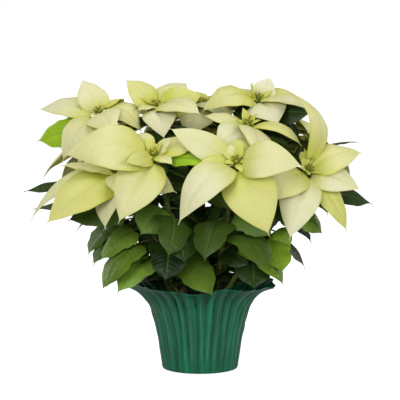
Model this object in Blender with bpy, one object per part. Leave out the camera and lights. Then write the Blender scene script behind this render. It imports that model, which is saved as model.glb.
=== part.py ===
"""A white poinsettia in its nursery pot, dressed in a pleated green pot cover.

Metres, +Z up, the origin at the middle of the pot cover's flat base, the front towards -Y.
Three pinched plants stand in the soil. Each branch carries green leaves, and ends in a bloom:
cream bracts round a cluster of small flower cups. Blades that show in front have their own tip,
width and bow, and the rest follow a rule. Each blade is bent clear of those set before it.
"""

import math
import random
from collections import namedtuple
from itertools import product

import bmesh
import bpy
from mathutils import Matrix, Vector
from mathutils.bvhtree import BVHTree

MM = 0.001
UP = Vector((0, 0, 1))
SEAT = 0.3  # gap between touching pieces, mm
SEED = 24

# Pot cover: radius and height of its outer face, mm, with the depth of its pleats there.
COVER_PLEATS = 34
COVER_WALL = 0.9
COVER_PROFILE = (
    (54.0, 0.0, 0.0),
    (57.0, 4.0, 0.5),
    (63.4, 50.0, 1.5),
    (72.0, 86.0, 2.0),
    (81.0, 106.0, 2.8),
    (95.0, 120.0, 4.0),
    (110.0, 129.0, 5.0),
)
COVER_LIP_WAVE = 3.0

# Nursery pot: it stands on the cover's base.
POT_SIDES = 32
POT_FOOT_RADIUS = 50.0
POT_TOP_RADIUS = 69.0
POT_COLLAR_RADIUS = 71.5
POT_COLLAR_DEPTH = 11.0
POT_FOOT = COVER_WALL + SEAT
POT_TOP = 106.0
POT_WALL = 1.6

# Soil
SOIL_TOP = 97.0
SOIL_CROWN = 3.0

# Stems
TRUNKS = {"left": (-27, -4), "right": (23, -17), "rear": (7, 26)}
TRUNK_RADIUS = 7.0
TRUNK_SIDES = 8
TRUNK_DEPTH = 42.0
TRUNK_RISE = 50.0
BRANCH_FOOT_RADIUS = 3.7
BRANCH_TIP_RADIUS = 2.6
BRANCH_SIDES = 5
BRANCH_STEPS = 6

# Bloom: the hub that the bracts grow from, and the flower cups on it.
HUB_RADIUS = 5.0
HUB_HEIGHT = 9.0
ROOT_DEPTH = 2.4  # how far from the hub's middle a bract starts
CUP_BASE_HEIGHT = 3.0
CUP_COUNT = 6
CUP_RADIUS = 2.6
CUP_LENGTH = 8.0
CUP_SPREAD = 6.2

# Blades, mm
STALK_WIDTH = 2.6
STALK_THICKNESS = 2.0
BLADE_THICKNESS = 0.8
CLEAR_THICKNESS = 2.6  # thickness of the stand-in that is tested against its neighbours
BRACT_STATIONS = (0.14, 0.36, 0.62, 0.84)
SMALL_STATIONS = (0.18, 0.42, 0.76)
SMALL_WIDTH = 30.0
LEAF_STATIONS = (0.12, 0.34, 0.58, 0.82)

# A branch and its bloom: the plant it grows from, its height there, the bloom's centre and facing.
Bloom = namedtuple("Bloom", "plant foot centre facing bracts leaves ring whorl")
# A blade: tip, width and bow height in mm, and the way its upper face looks.
Shape = namedtuple("Shape", "tip width bow face", defaults=((0, -0.45, 0.9),))
Blade = namedtuple("Blade", "root tip width bow face stalk lobe give")

FRONT = (0, -0.9, 0.45)
LOW = (0, -0.6, 0.8)
BLOOMS = {
    "a": Bloom("left", 4, (-149, -30, 387), (-0.35, -0.45, 0.82), [
        Shape((-201, -75, 316), 54, 20, (-0.3, -0.7, 0.6)),
        Shape((-176, 6, 434), 48, 8, (0.2, -0.8, 0.6)),
        Shape((-84, -50, 356), 58, 26, (0.3, -0.5, 0.8)),
        Shape((-244, 20, 388), 50, 16, (-0.2, -0.5, 0.85)),
    ], [
        (0.88, Shape((-242, -34, 344), 58, 20, (-0.1, -0.8, 0.55))),
        (0.62, Shape((-261, -50, 272), 34, 14, (-0.5, 0.5, 0.7))),
        (0.42, Shape((-144, -70, 126), 50, 20, (-0.4, -0.7, 0.6))),
    ], (7, 84, 50), 1),
    "b": Bloom("left", 13, (-118, -125, 307), (-0.55, -0.60, 0.58), [
        Shape((-217, -175, 234), 72, 18, (-0.3, -0.75, 0.6)),
        Shape((-200, -130, 316), 36, 6, (-0.1, -0.3, 1.0)),
        Shape((-246, -85, 231), 54, 30, (-0.6, -0.3, 0.7)),
    ], [
        (0.74, Shape((-190, -122, 235), 60, 12, (-0.3, -0.75, 0.55))),
        (0.44, Shape((-121, -112, 128), 50, 20, (-0.2, -0.8, 0.55))),
        (0.62, Shape((-146, -84, 173), 50, 14, (-0.4, -0.6, 0.7))),
        (0.66, Shape((-250, -38, 243), 40, 16, (-0.5, 0.5, 0.7))),
    ], (7, 84, 52), 1),
    "c": Bloom("left", 31, (-65, -150, 332), (-0.20, -0.74, 0.64), [
        Shape((-114, -196, 238), 68, 20, FRONT),
        Shape((-193, -168, 330), 74, 34, (0, -0.85, 0.55)),
        Shape((-104, -212, 324), 26, 5, FRONT),
        Shape((-40, -158, 357), 20, 3, (-0.3, -0.7, 0.6)),
        Shape((-38, -176, 320), 22, 4, FRONT),
        Shape((0, -104, 346), 42, 10, LOW),
    ], [
        (0.93, Shape((20, -150, 318), 32, 12, (0, -0.55, 0.85))),
        (0.66, Shape((-85, -142, 216), 62, 14, FRONT)),
        (0.50, Shape((-50, -126, 147), 60, 12, FRONT)),
    ], (6, 80, 50), 1),
    "d": Bloom("left", 40, (-65, -20, 397), (-0.10, -0.45, 0.89), [
        Shape((-52, -82, 349), 50, 16, (0, -0.85, 0.55)),
        Shape((4, -16, 412), 48, 8, (0.2, -0.85, 0.5)),
        Shape((-111, -4, 434), 50, 8, (0.1, -0.8, 0.6)),
        Shape((-20, 50, 428), 46, 10, LOW),
    ], [
        (0.84, Shape((-6, -86, 326), 54, 12, LOW)),
        (0.32, Shape((20, -130, 127), 58, 14, FRONT)),
        (0.72, Shape((-36, -66, 262), 62, 14, FRONT)),
        (0.44, Shape((-92, -62, 190), 60, 14, FRONT)),
    ], (7, 86, 52), 1),
    "e": Bloom("right", 22, (51, -150, 322), (0.08, -0.76, 0.64), [
        Shape((-32, -198, 236), 58, 34, (-0.25, -0.85, 0.5)),
        Shape((97, -196, 220), 76, 18, FRONT),
        Shape((145, -176, 316), 62, 22, (0, -0.85, 0.55)),
        Shape((-44, -134, 368), 44, 8, (-0.2, -0.8, 0.6)),
    ], [
        (0.70, Shape((102, -128, 212), 64, 14, (0.2, -0.8, 0.6))),
        (0.84, Shape((12, -104, 262), 56, 14, FRONT)),
        (0.44, Shape((72, -117, 168), 46, 12, FRONT)),
    ], (6, 80, 50), 1),
    "f": Bloom("right", 40, (70, -60, 371), (0.02, -0.60, 0.80), [
        Shape((24, -128, 331), 58, 14, (0, -0.9, 0.45)),
        Shape((149, -84, 340), 44, 18, (0.3, -0.3, 0.9)),
        Shape((4, -62, 383), 34, 6, (-0.1, -0.5, 0.87)),
    ], [
        (0.90, Shape((18, -50, 334), 52, 10, LOW)),
        (0.62, Shape((40, -72, 256), 60, 14, FRONT)),
        (0.45, Shape((10, -76, 200), 58, 14, FRONT)),
    ], (7, 82, 48), 1),
    "g": Bloom("right", 13, (156, -92, 306), (0.42, -0.62, 0.66), [
        Shape((121, -46, 421), 62, 44, (0.8, -0.35, 0.4)),
        Shape((232, -108, 278), 50, 12, (0.2, -0.8, 0.55)),
        Shape((238, -72, 330), 64, 16, (0.05, -0.85, 0.5)),
        Shape((126, -157, 210), 60, 18, (0, -0.92, 0.4)),
        Shape((213, -112, 216), 38, 16, (0.6, -0.5, 0.5)),
        Shape((152, -108, 345), 20, 4, (0.4, -0.8, 0.4)),
    ], [
        (0.72, Shape((180, -72, 210), 46, 14, (0.3, -0.7, 0.6))),
        (0.60, Shape((131, -66, 184), 44, 14, (0.2, -0.7, 0.7))),
        (0.80, Shape((255, -58, 254), 48, 16, (0.4, -0.5, 0.7))),
        (0.42, Shape((84, -104, 144), 52, 12, (0.2, -0.8, 0.6))),
    ], (7, 84, 52), 1),
    "h": Bloom("rear", 40, (88, 10, 405), (0.05, -0.45, 0.89), [
        Shape((116, -52, 369), 62, 14, (0.1, -0.88, 0.45)),
        Shape((0, -22, 385), 58, 26, (-0.2, -0.6, 0.8)),
        Shape((106, 22, 437), 36, 5, (0.1, -0.85, 0.5)),
        Shape((76, -4, 430), 18, 3, (-0.3, -0.6, 0.7)),
        Shape((166, 70, 392), 52, 18, (0.3, -0.3, 0.9)),
    ], [
        (0.86, Shape((150, -14, 346), 56, 12, (0.2, -0.7, 0.65))),
        (0.60, Shape((92, -40, 258), 60, 14, FRONT)),
    ], (7, 86, 52), 1),
    "i": Bloom("right", 31, (168, 62, 345), (0.62, 0.30, 0.72), [], [
        (0.80, Shape((239, 20, 342), 40, 12, (0.4, 0.1, 0.9))),
    ], (8, 94, 60), 1),
    "j": Bloom("rear", 13, (92, 158, 330), (0.34, 0.66, 0.67), [], [
        (0.85, Shape((158, 92, 312), 60, 14, (0.2, 0.1, 0.95))),
    ], (8, 98, 62), 1),
    "k": Bloom("rear", 22, (-30, 150, 352), (-0.12, 0.66, 0.74), [], [
        (0.78, Shape((-100, 104, 326), 62, 14, (-0.2, 0.1, 0.95))),
    ], (8, 98, 62), 1),
    "l": Bloom("left", 22, (-150, 96, 338), (-0.62, 0.40, 0.68), [], [
        (0.84, Shape((-80, 56, 340), 58, 12, (0.1, 0.0, 1.0))),
    ], (8, 98, 60), 1),
    "m": Bloom("rear", 31, (4, 62, 398), (0.02, 0.05, 1.0), [], [
        (0.72, Shape((-8, -12, 272), 62, 14, FRONT)),
        (0.50, Shape((-24, -12, 226), 60, 14, FRONT)),
        (0.32, Shape((30, -40, 170), 54, 14, FRONT)),
    ], (8, 94, 60), 1),
}
LEAVES_A_BRANCH = 6
LEAF_HEIGHTS = (0.92, 0.40)  # highest and lowest leaf root, as shares of the branch
LEAF_FLOOR = 150.0  # only the drawn leaves hang over the lip
GOLDEN_TURN = math.radians(137.5)

# Colours, linear: base colour, roughness, metallic.
FINISHES = {
    "foil": ((0.010, 0.110, 0.062), 0.28, 0.55),
    "plastic": ((0.020, 0.035, 0.022), 0.50, 0.0),
    "soil": ((0.035, 0.022, 0.014), 0.95, 0.0),
    "bark": ((0.085, 0.085, 0.035), 0.75, 0.0),
    "leaf": ((0.030, 0.095, 0.016), 0.42, 0.0),
    "bract": ((0.760, 0.740, 0.400), 0.50, 0.0),
    "cup": ((0.330, 0.420, 0.060), 0.45, 0.0),
}


def finish(name):
    """The finish of that name, made once."""
    found = bpy.data.materials.get(name)
    if found:
        return found
    colour, roughness, metallic = FINISHES[name]
    made = bpy.data.materials.new(name)
    made.use_nodes = True
    shader = made.node_tree.nodes["Principled BSDF"]
    shader.inputs["Base Color"].default_value = (*colour, 1)
    shader.inputs["Roughness"].default_value = roughness
    shader.inputs["Metallic"].default_value = metallic
    made.diffuse_color = (*colour, 1)
    return made


def solid(name, points, faces, material):
    """An object from points in mm and faces."""
    mesh = bpy.data.meshes.new(name)
    mesh.from_pydata([Vector(p) * MM for p in points], [], faces)
    mesh.validate()
    mesh.materials.append(finish(material))
    made = bpy.data.objects.new(name, mesh)
    bpy.context.collection.objects.link(made)
    return made


def bridged(rings, start=None, end=None):
    """Points and faces of a skin over rings of points, closed by a point or a flat cap at each end."""
    points = [p for ring in rings for p in ring]
    count = len(rings[0])
    faces = []
    for row in range(len(rings) - 1):
        for i in range(count):
            a, b = row * count + i, row * count + (i + 1) % count
            c, d = b + count, a + count
            faces += [(a, b, c), (a, c, d)] if i % 2 else [(a, b, d), (b, c, d)]
    last = (len(rings) - 1) * count
    if start is None:
        faces.append(tuple(range(count))[::-1])
    else:
        points.append(start)
        faces += [((i + 1) % count, i, len(points) - 1) for i in range(count)]
    if end is None:
        faces.append(tuple(last + i for i in range(count)))
    else:
        points.append(end)
        faces += [(last + i, last + (i + 1) % count, len(points) - 1) for i in range(count)]
    return points, faces


def turns(sides, start=0.0):
    return [start + 2 * math.pi * i / sides for i in range(sides)]


def bend(start, control, end, u):
    return start * (1 - u) ** 2 + control * (2 * u * (1 - u)) + end * u * u


def frame_at(axis):
    """Two unit vectors across an axis, the second one rising."""
    side = UP.cross(axis)
    side = side.normalized() if side.length > 1e-3 else Vector((1, 0, 0))
    return side, axis.cross(side).normalized()


def outline(s, lobe):
    """Half width of a blade, as a share of its widest, at share s of its length."""
    full = (s / 0.33) ** 0.55 * ((1 - s) / 0.67) ** 1.12
    return full * (1 + lobe * math.sin(3.2 * math.pi * s) ** 3)


def blade_line(blade, u):
    """Middle of the blade at share u of its way, with its tangent, side and upper normal."""
    chord = blade.tip - blade.root
    side = chord.cross(blade.face).normalized()
    rise = side.cross(chord).normalized()
    control = blade.root + chord * 0.45 + rise * 2 * blade.bow
    at = bend(blade.root, control, blade.tip, u)
    tangent = ((control - blade.root) * (1 - u) + (blade.tip - control) * u).normalized()
    return at, side, side.cross(tangent).normalized()


def stations_of(blade):
    if blade.lobe:
        return LEAF_STATIONS
    return BRACT_STATIONS if blade.width > SMALL_WIDTH else SMALL_STATIONS


def blade_rings(blade, thickness):
    """Six-point sections of a blade: its stalk's end, then one at each station."""
    at, side, normal = blade_line(blade, blade.stalk)
    rows = [(at, side, normal, STALK_WIDTH / 2, STALK_THICKNESS, 0.0)]
    for s in stations_of(blade):
        at, side, normal = blade_line(blade, blade.stalk + (1 - blade.stalk) * s)
        half = blade.width / 2 * outline(s, blade.lobe)
        rows.append((at, side, normal, half, thickness, 0.16 * half))
    rings = []
    for at, side, normal, half, thick, cup in rows:
        lift = normal * thick / 2
        edges = [at - side * half - normal * cup, at, at + side * half - normal * cup]
        rings.append([p + lift for p in edges] + [p - lift for p in reversed(edges)])
    return rings


def blade_skin(blade, thickness=BLADE_THICKNESS):
    """Points and faces of a blade's solid. A leaf's stalk has a flat end, a bract's starts at a point."""
    rings = blade_rings(blade, thickness)
    if blade.lobe:
        shift = blade.root - blade_line(blade, blade.stalk)[0]
        rings.insert(0, [p + shift for p in rings[0]])
        return bridged(rings, None, blade.tip)
    return bridged(rings, blade.root, blade.tip)


def outer_skin(blade):
    """The blade without its stalk, thickened, for the test against others on the same stem."""
    return bridged(blade_rings(blade, CLEAR_THICKNESS)[1:], None, blade.tip)


def tree_of(points, faces):
    return BVHTree.FromPolygons([Vector(p) for p in points], faces)


class Crowd:
    """What stands in the way: each solid's tree, and of a blade also the tree without its stalk."""

    def __init__(self):
        self.members = []

    def add(self, owner, whole, outer=None):
        self.members.append((owner, whole, outer or whole))

    def admits(self, owner, whole, outer):
        for other, their_whole, their_outer in self.members:
            mine, theirs = (outer, their_outer) if other == owner else (whole, their_whole)
            if theirs is not None and mine.overlap(theirs):
                return False
        return True


def variants(blade):
    """The blade as drawn, then bent a little further from that each time, then shorter."""
    steps = product((0, 1, 2, 3), (0, 1, -1, 2, -2, 3, -3), (0, 1, -1, 2, -2))
    ranked = sorted(steps, key=lambda k: 3.1 * k[0] + abs(k[1]) + 0.7 * abs(k[2]))
    chord = blade.tip - blade.root
    for short, give, roll in ranked:
        tip = blade.tip + blade.give * (7.0 * give) - chord * (0.06 * short)
        face = Matrix.Rotation(math.radians(13 * roll), 3, chord) @ blade.face
        yield blade._replace(tip=tip, face=face, width=blade.width * (1 - 0.05 * short))


def settled(blade, owner, crowd):
    """The first variant that is clear of the crowd, which it then joins, or None."""
    for tried in variants(blade):
        whole = tree_of(*blade_skin(tried, CLEAR_THICKNESS))
        outer = tree_of(*outer_skin(tried))
        if crowd.admits(owner, whole, outer):
            crowd.add(owner, whole, outer)
            return tried
    return None


def trunk_of(plant):
    x, y = TRUNKS[plant]
    return Vector((x, y, 0))


def branch_line(bloom):
    """The branch's middle as a function of the share of its way, and its end's direction."""
    base = trunk_of(bloom.plant)
    away = Vector(bloom.centre) - base
    facet = 2 * math.pi / TRUNK_SIDES
    turn = round(math.atan2(away.y, away.x) / facet) * facet
    out = Vector((math.cos(turn), math.sin(turn), 0))
    flat = TRUNK_RADIUS * math.cos(facet / 2)
    start = base + out * (flat + SEAT) + UP * (SOIL_TOP + SOIL_CROWN + bloom.foot)
    facing = Vector(bloom.facing).normalized()
    end = Vector(bloom.centre) - facing * (HUB_HEIGHT + SEAT)
    first, second = start + out * 16, end - facing * 70

    def at(t):
        return (
            start * (1 - t) ** 3
            + first * (3 * t * (1 - t) ** 2)
            + second * (3 * t * t * (1 - t))
            + end * t**3
        )

    return at, out, facing


def branch_skin(bloom):
    at, out, facing = branch_line(bloom)
    rings = []
    for i in range(BRANCH_STEPS + 1):
        t = i / BRANCH_STEPS
        near = (at(min(t + 0.01, 1)) - at(max(t - 0.01, 0))).normalized()
        near = out if i == 0 else facing if i == BRANCH_STEPS else near
        side, rise = frame_at(near)
        radius = BRANCH_FOOT_RADIUS + (BRANCH_TIP_RADIUS - BRANCH_FOOT_RADIUS) * t
        rings.append([
            at(t) + (side * math.cos(k) + rise * math.sin(k)) * radius
            for k in turns(BRANCH_SIDES)
        ])
    return bridged(rings)


def turned_skin(centre, axis, profile, sides):
    """A solid turned about an axis: (radius, height) pairs from its foot to its top."""
    side, rise = frame_at(axis)
    rings = [
        [
            centre + axis * z + (side * math.cos(k) + rise * math.sin(k)) * r
            for k in turns(sides)
        ]
        for r, z in profile
    ]
    return bridged(rings)


def hub_skin(bloom):
    facing = Vector(bloom.facing).normalized()
    foot = Vector(bloom.centre) - facing * HUB_HEIGHT
    return turned_skin(foot, facing, ((3.4, 0), (HUB_RADIUS, 4), (HUB_RADIUS, HUB_HEIGHT)), 6)


def cup_skins(bloom):
    """The base of the flower cluster, and its cups: one in the middle and a ring leaning out."""
    facing = Vector(bloom.facing).normalized()
    side, rise = frame_at(facing)
    foot = Vector(bloom.centre) + facing * SEAT
    skins = [turned_skin(foot, facing, ((4.4, 0), (3.4, CUP_BASE_HEIGHT)), 6)]
    for i in range(CUP_COUNT):
        turn = turns(CUP_COUNT - 1)[i - 1]
        lean = (side * math.cos(turn) + rise * math.sin(turn)) * (CUP_SPREAD if i else 0)
        axis = (facing * CUP_LENGTH + lean).normalized()
        low = foot + facing * 1.0 + lean * 0.25
        across, along = frame_at(axis)
        waist = [
            low + axis * (CUP_LENGTH * 0.68) + (across * math.cos(k) + along * math.sin(k)) * CUP_RADIUS
            for k in turns(4)
        ]
        skins.append(bridged([waist], low, low + axis * (CUP_LENGTH + 2)))
    return skins


def drawn_blade(root, shape, stalk, lobe):
    """A blade with its own tip. It gives way in depth, which the front view hardly shows."""
    tip = Vector(shape.tip)
    return Blade(root, tip, shape.width, shape.bow, Vector(shape.face), stalk, lobe, Vector((0, 1, 0)))


def bract_root(bloom, order, count, away):
    """A place inside the hub, on the bract's side. Roots climb the hub from the outermost bract inwards."""
    facing = Vector(bloom.facing).normalized()
    out = (away - facing * away.dot(facing)).normalized()
    return Vector(bloom.centre) - facing * (HUB_HEIGHT * (0.85 - 0.6 * order / count)) + out * ROOT_DEPTH


def bract_blades(name, bloom):
    """The bracts of a bloom: those drawn one by one, then rings that fill the gaps between them."""
    facing = Vector(bloom.facing).normalized()
    side, rise = frame_at(facing)
    count, length, width = bloom.ring
    total = count + bloom.whorl
    blades = []
    taken = []
    for order, shape in enumerate(bloom.bracts):
        away = Vector(shape.tip) - Vector(bloom.centre)
        root = bract_root(bloom, order, total, away)
        blades.append(drawn_blade(root, shape, 0.12, 0.0))
        taken.append(math.atan2(away.dot(rise), away.dot(side)))
    draw = random.Random(f"{SEED} bracts {name}")
    for order in range(total):
        inner = order >= count
        turn = order * GOLDEN_TURN + draw.uniform(-0.15, 0.15)
        reach = length * draw.uniform(0.9, 1.1) * (0.5 if inner else 1.0)
        slope = draw.uniform(0.55, 0.75) if inner else 0.25 * (order % 3) - 0.28
        gap = min((abs(math.remainder(turn - t, 2 * math.pi)) for t in taken), default=9)
        if gap < (0.35 if inner else 0.5):
            continue
        if not inner:
            taken.append(turn)
        out = side * math.cos(turn) + rise * math.sin(turn)
        root = bract_root(bloom, order, total, out)
        tip = root + (out * math.cos(slope) + facing * math.sin(slope)) * reach - UP * (reach * 0.22)
        bow = reach * (0.10 if inner else 0.17)
        broad = width * draw.uniform(0.9, 1.1) * (0.42 if inner else 1.0)
        blades.append(Blade(root, tip, broad, bow, facing, 0.12, 0.0, facing))
    return blades


def leaf_blades(name, bloom):
    """The leaves of a branch: those drawn one by one, then others up the branch by turns."""
    at, out, facing = branch_line(bloom)
    blades = [drawn_blade(at(t), shape, 0.30, 0.16) for t, shape in bloom.leaves]
    draw = random.Random(f"{SEED} leaves {name}")
    high, low = LEAF_HEIGHTS
    for order in range(len(blades), LEAVES_A_BRANCH):
        t = high + (low - high) * (order + 0.5) / LEAVES_A_BRANCH
        root = at(t)
        outward = Vector((root.x, root.y, 0)) * 0.012 + Vector(bloom.facing) * 0.6
        turn = math.atan2(outward.y, outward.x) + draw.uniform(-1.3, 1.3)
        reach = draw.uniform(100, 122)
        away = Vector((math.cos(turn), math.sin(turn), draw.uniform(-0.65, -0.25)))
        tip = root + away.normalized() * reach
        tip.z = max(tip.z, LEAF_FLOOR)
        face = (UP + away * 0.3).normalized()
        blades.append(Blade(root, tip, draw.uniform(54, 64), reach * 0.2, face, 0.34, 0.16, UP))
    return blades


def united(name, first, others, material):
    """One solid from overlapping ones."""
    base = solid(name, *first, material)
    helpers = bpy.data.collections.new(name)
    bpy.context.scene.collection.children.link(helpers)
    for points, faces in others:
        piece = solid(f"{name}_piece", points, faces, material)
        bpy.context.collection.objects.unlink(piece)
        helpers.objects.link(piece)
    union = base.modifiers.new("union", "BOOLEAN")
    union.operation = "UNION"
    union.operand_type = "COLLECTION"
    union.collection = helpers
    bpy.context.view_layer.objects.active = base
    bpy.ops.object.modifier_apply(modifier=union.name)
    for piece in list(helpers.objects):
        bpy.data.objects.remove(piece)
    bpy.data.collections.remove(helpers)
    keep_outer_shell(base)
    base.data.materials.clear()
    base.data.materials.append(finish(material))
    return base


def keep_outer_shell(made):
    """Fills any hollow that a union has sealed, and drops loose scraps: only the largest shell stays."""
    work = bmesh.new()
    work.from_mesh(made.data)
    shells = []
    waiting = set(work.verts)
    while waiting:
        shell, edge = set(), [waiting.pop()]
        while edge:
            vert = edge.pop()
            shell.add(vert)
            near = {e.other_vert(vert) for e in vert.link_edges} & waiting
            waiting -= near
            edge += near
        shells.append(shell)
    shells.sort(key=len)
    for shell in shells[:-1]:
        bmesh.ops.delete(work, geom=list(shell), context="VERTS")
    work.to_mesh(made.data)
    work.free()


def cover_ring(radius, height, pleat):
    """A ring of the pot cover, folded in and out, with a lazy wave up and down its lip."""
    count = 2 * COVER_PLEATS
    wave = COVER_LIP_WAVE * max(0.0, (height - 100) / 30)
    ring = []
    for i, turn in enumerate(turns(count)):
        r = radius + pleat * (1 if i % 2 else -1)
        z = height + wave * (math.sin(5 * turn + 1.0) + 0.5 * math.sin(9 * turn)) if wave else height
        ring.append(Vector((r * math.cos(turn), r * math.sin(turn), z)))
    return ring


def pot_cover():
    """A thin pleated wall that flares into a wavy lip, with a flat base."""
    outer = [cover_ring(*row) for row in COVER_PROFILE]
    inner = []
    for (r0, z0, _), (r1, z1, pleat) in zip(COVER_PROFILE, COVER_PROFILE[1:]):
        slope = math.atan2(r1 - r0, z1 - z0)
        thin_r, thin_z = COVER_WALL * math.cos(slope), COVER_WALL * math.sin(slope)
        inner.append(cover_ring(r1 - thin_r, z1 + max(thin_z, 0), pleat))
    floor = cover_ring(COVER_PROFILE[0][0], COVER_WALL, 0)
    rings = outer + inner[:0:-1] + [floor]
    return solid("pot_cover", *bridged(rings), "foil")


def nursery_pot():
    """A tapered pot with a collar, hollow, standing on the cover's base."""
    mouth = POT_TOP_RADIUS - POT_WALL
    profile = (
        (POT_FOOT_RADIUS, POT_FOOT),
        (POT_TOP_RADIUS - 0.5, POT_TOP - POT_COLLAR_DEPTH),
        (POT_COLLAR_RADIUS, POT_TOP - POT_COLLAR_DEPTH),
        (POT_COLLAR_RADIUS, POT_TOP),
        (mouth, POT_TOP),
        (POT_FOOT_RADIUS - POT_WALL, POT_FOOT + POT_WALL),
    )
    return solid("nursery_pot", *turned_skin(Vector(), UP, profile, POT_SIDES), "plastic")


def soil():
    """The root ball: it fills the pot, with a slightly raised top and a hole for each plant."""
    foot = POT_FOOT + POT_WALL + SEAT
    share = (SOIL_TOP - foot) / (POT_TOP - foot)
    low = POT_FOOT_RADIUS - POT_WALL - SEAT
    top = low + (POT_TOP_RADIUS - POT_FOOT_RADIUS) * share
    profile = ((low, foot), (top, SOIL_TOP), (top * 0.6, SOIL_TOP + SOIL_CROWN))
    made = solid("soil", *turned_skin(Vector(), UP, profile, POT_SIDES), "soil")
    for plant in TRUNKS:
        deep = SOIL_TOP + SOIL_CROWN - TRUNK_DEPTH
        wide = TRUNK_RADIUS + SEAT / math.cos(math.pi / TRUNK_SIDES)
        skin = trunk_skin(plant, wide, deep, POT_TOP + 20)
        hole = solid(f"hole_{plant}", *skin, "soil")
        cut = made.modifiers.new("hole", "BOOLEAN")
        cut.operation = "DIFFERENCE"
        cut.object = hole
        bpy.context.view_layer.objects.active = made
        bpy.ops.object.modifier_apply(modifier=cut.name)
        bpy.data.objects.remove(hole)
    made.data.materials.clear()
    made.data.materials.append(finish("soil"))
    return made


def trunk_skin(plant, radius, low, high):
    """An eight-sided post whose flats face the branches."""
    base = trunk_of(plant)
    ring = turns(TRUNK_SIDES, math.pi / TRUNK_SIDES)
    rings = [
        [base + Vector((radius * math.cos(k), radius * math.sin(k), z)) for k in ring]
        for z in (low, high)
    ]
    return bridged(rings)


def grow():
    """Sets the stems and blooms, then every blade where it is clear of the rest."""
    crowd = Crowd()
    cover = bpy.data.objects["pot_cover"].data
    crowd.add("pot", tree_of([v.co / MM for v in cover.vertices], [p.vertices for p in cover.polygons]))
    soil_line = SOIL_TOP + SOIL_CROWN
    lid = [(math.cos(k) * 76, math.sin(k) * 76, soil_line) for k in turns(12)]
    crowd.add("pot", tree_of(lid, [tuple(range(12))]))
    for plant in TRUNKS:
        post = trunk_skin(plant, TRUNK_RADIUS, soil_line - TRUNK_DEPTH + SEAT, soil_line + TRUNK_RISE)
        crowd.add(plant, tree_of(*post))
        solid(f"trunk_{plant}", *post, "bark")
    grown = {}
    for name, bloom in BLOOMS.items():
        cups = cup_skins(bloom)
        united(f"flowers_{name}", cups[0], cups[1:], "cup")
        for skin in cups:
            crowd.add(f"flowers_{name}", tree_of(*skin))
        stem = branch_skin(bloom)
        crowd.add(f"branch_{name}", tree_of(*stem))
        hub = hub_skin(bloom)
        crowd.members.append((f"bracts_{name}", tree_of(*hub), None))
        grown[f"branch_{name}"] = [stem]
        grown[f"bracts_{name}"] = [hub]
    wanted = []
    for name, bloom in BLOOMS.items():
        bracts, leaves = bract_blades(name, bloom), leaf_blades(name, bloom)
        wanted += [(i, f"bracts_{name}", b) for i, b in enumerate(bracts)]
        wanted += [(i + 1.5, f"branch_{name}", b) for i, b in enumerate(leaves)]
    wanted.sort(key=lambda w: (w[0], w[1]))
    for order, owner, blade in wanted:
        placed = settled(blade, owner, crowd)
        if placed:
            grown[owner].append(blade_skin(placed))
    for owner, skins in grown.items():
        united(owner, skins[0], skins[1:], "bract" if owner.startswith("bracts") else "leaf")


def main():
    for old in list(bpy.data.objects):
        bpy.data.objects.remove(old)
    pot_cover()
    nursery_pot()
    soil()
    grow()


main()
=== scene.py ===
"""The looks of a white poinsettia in its nursery pot, dressed in a pleated green pot cover.

Metres, +Z up, the origin at the middle of the cover's flat base, the front towards -Y.
The tables and the way of growing are the part's own, in mm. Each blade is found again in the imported
solid by its corners, so that every bract and leaf lies where its solid is. A flat sheet is then laid
on it, wrapped into a tube, or turned round an axis, and each node gets one such finer piece.
"""

import math
import random
from collections import namedtuple
from itertools import product

import bpy
from mathutils import Matrix, Vector
from mathutils.bvhtree import BVHTree
from mathutils.kdtree import KDTree
from mathutils.noise import noise


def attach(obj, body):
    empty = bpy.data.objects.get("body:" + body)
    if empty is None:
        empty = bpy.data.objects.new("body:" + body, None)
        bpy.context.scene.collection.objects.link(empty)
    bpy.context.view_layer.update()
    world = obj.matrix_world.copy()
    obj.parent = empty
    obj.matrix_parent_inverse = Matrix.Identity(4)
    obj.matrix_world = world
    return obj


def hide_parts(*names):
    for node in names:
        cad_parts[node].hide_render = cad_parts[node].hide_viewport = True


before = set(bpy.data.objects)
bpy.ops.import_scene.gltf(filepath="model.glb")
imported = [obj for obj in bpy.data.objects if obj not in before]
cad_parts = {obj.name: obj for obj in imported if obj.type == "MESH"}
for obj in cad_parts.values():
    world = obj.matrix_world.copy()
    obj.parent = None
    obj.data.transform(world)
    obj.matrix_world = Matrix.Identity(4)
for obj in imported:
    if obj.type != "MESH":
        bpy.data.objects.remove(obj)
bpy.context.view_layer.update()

MM = 0.001
UP = Vector((0, 0, 1))
SEAT = 0.3  # gap between touching pieces, mm
SEED = 24
WELD_REACH = 0.01  # mm

# Pot cover: radius and height of its outer face, mm, with the depth of its pleats there.
COVER_PLEATS = 34
COVER_WALL = 0.9
COVER_PROFILE = (
    (54.0, 0.0, 0.0),
    (57.0, 4.0, 0.5),
    (63.4, 50.0, 1.5),
    (72.0, 86.0, 2.0),
    (81.0, 106.0, 2.8),
    (95.0, 120.0, 4.0),
    (110.0, 129.0, 5.0),
)
COVER_LIP_WAVE = 3.0
COVER_FOOT = ((0.0, 0.0), (18.0, 0.0), (36.0, 0.0), (48.0, 0.0), (54.0, 0.0), (55.9, 0.7), (56.8, 2.0))
COVER_CURLS = ((-0.16, 6.0), (2.55, 3.5), (-1.05, 2.5), (1.2, 4.0))  # turn and reach of the lip's curls
CURL_SPREAD = 0.15  # half width of a curl, in radians round the lip
COVER_COLUMNS = COVER_PLEATS * 12
COVER_STEPS = 8  # rows of faces between two points of the profile
# Heights between which the pleats grow round and shallow, and the lip grows wavy and rolls over.
PLEATS_ROUND = (104, 122)
PLEATS_SHALLOW = (108, 129)
LIP_WAVY = (100, 130)
LIP_ROLLED = (112, 129)

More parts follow.
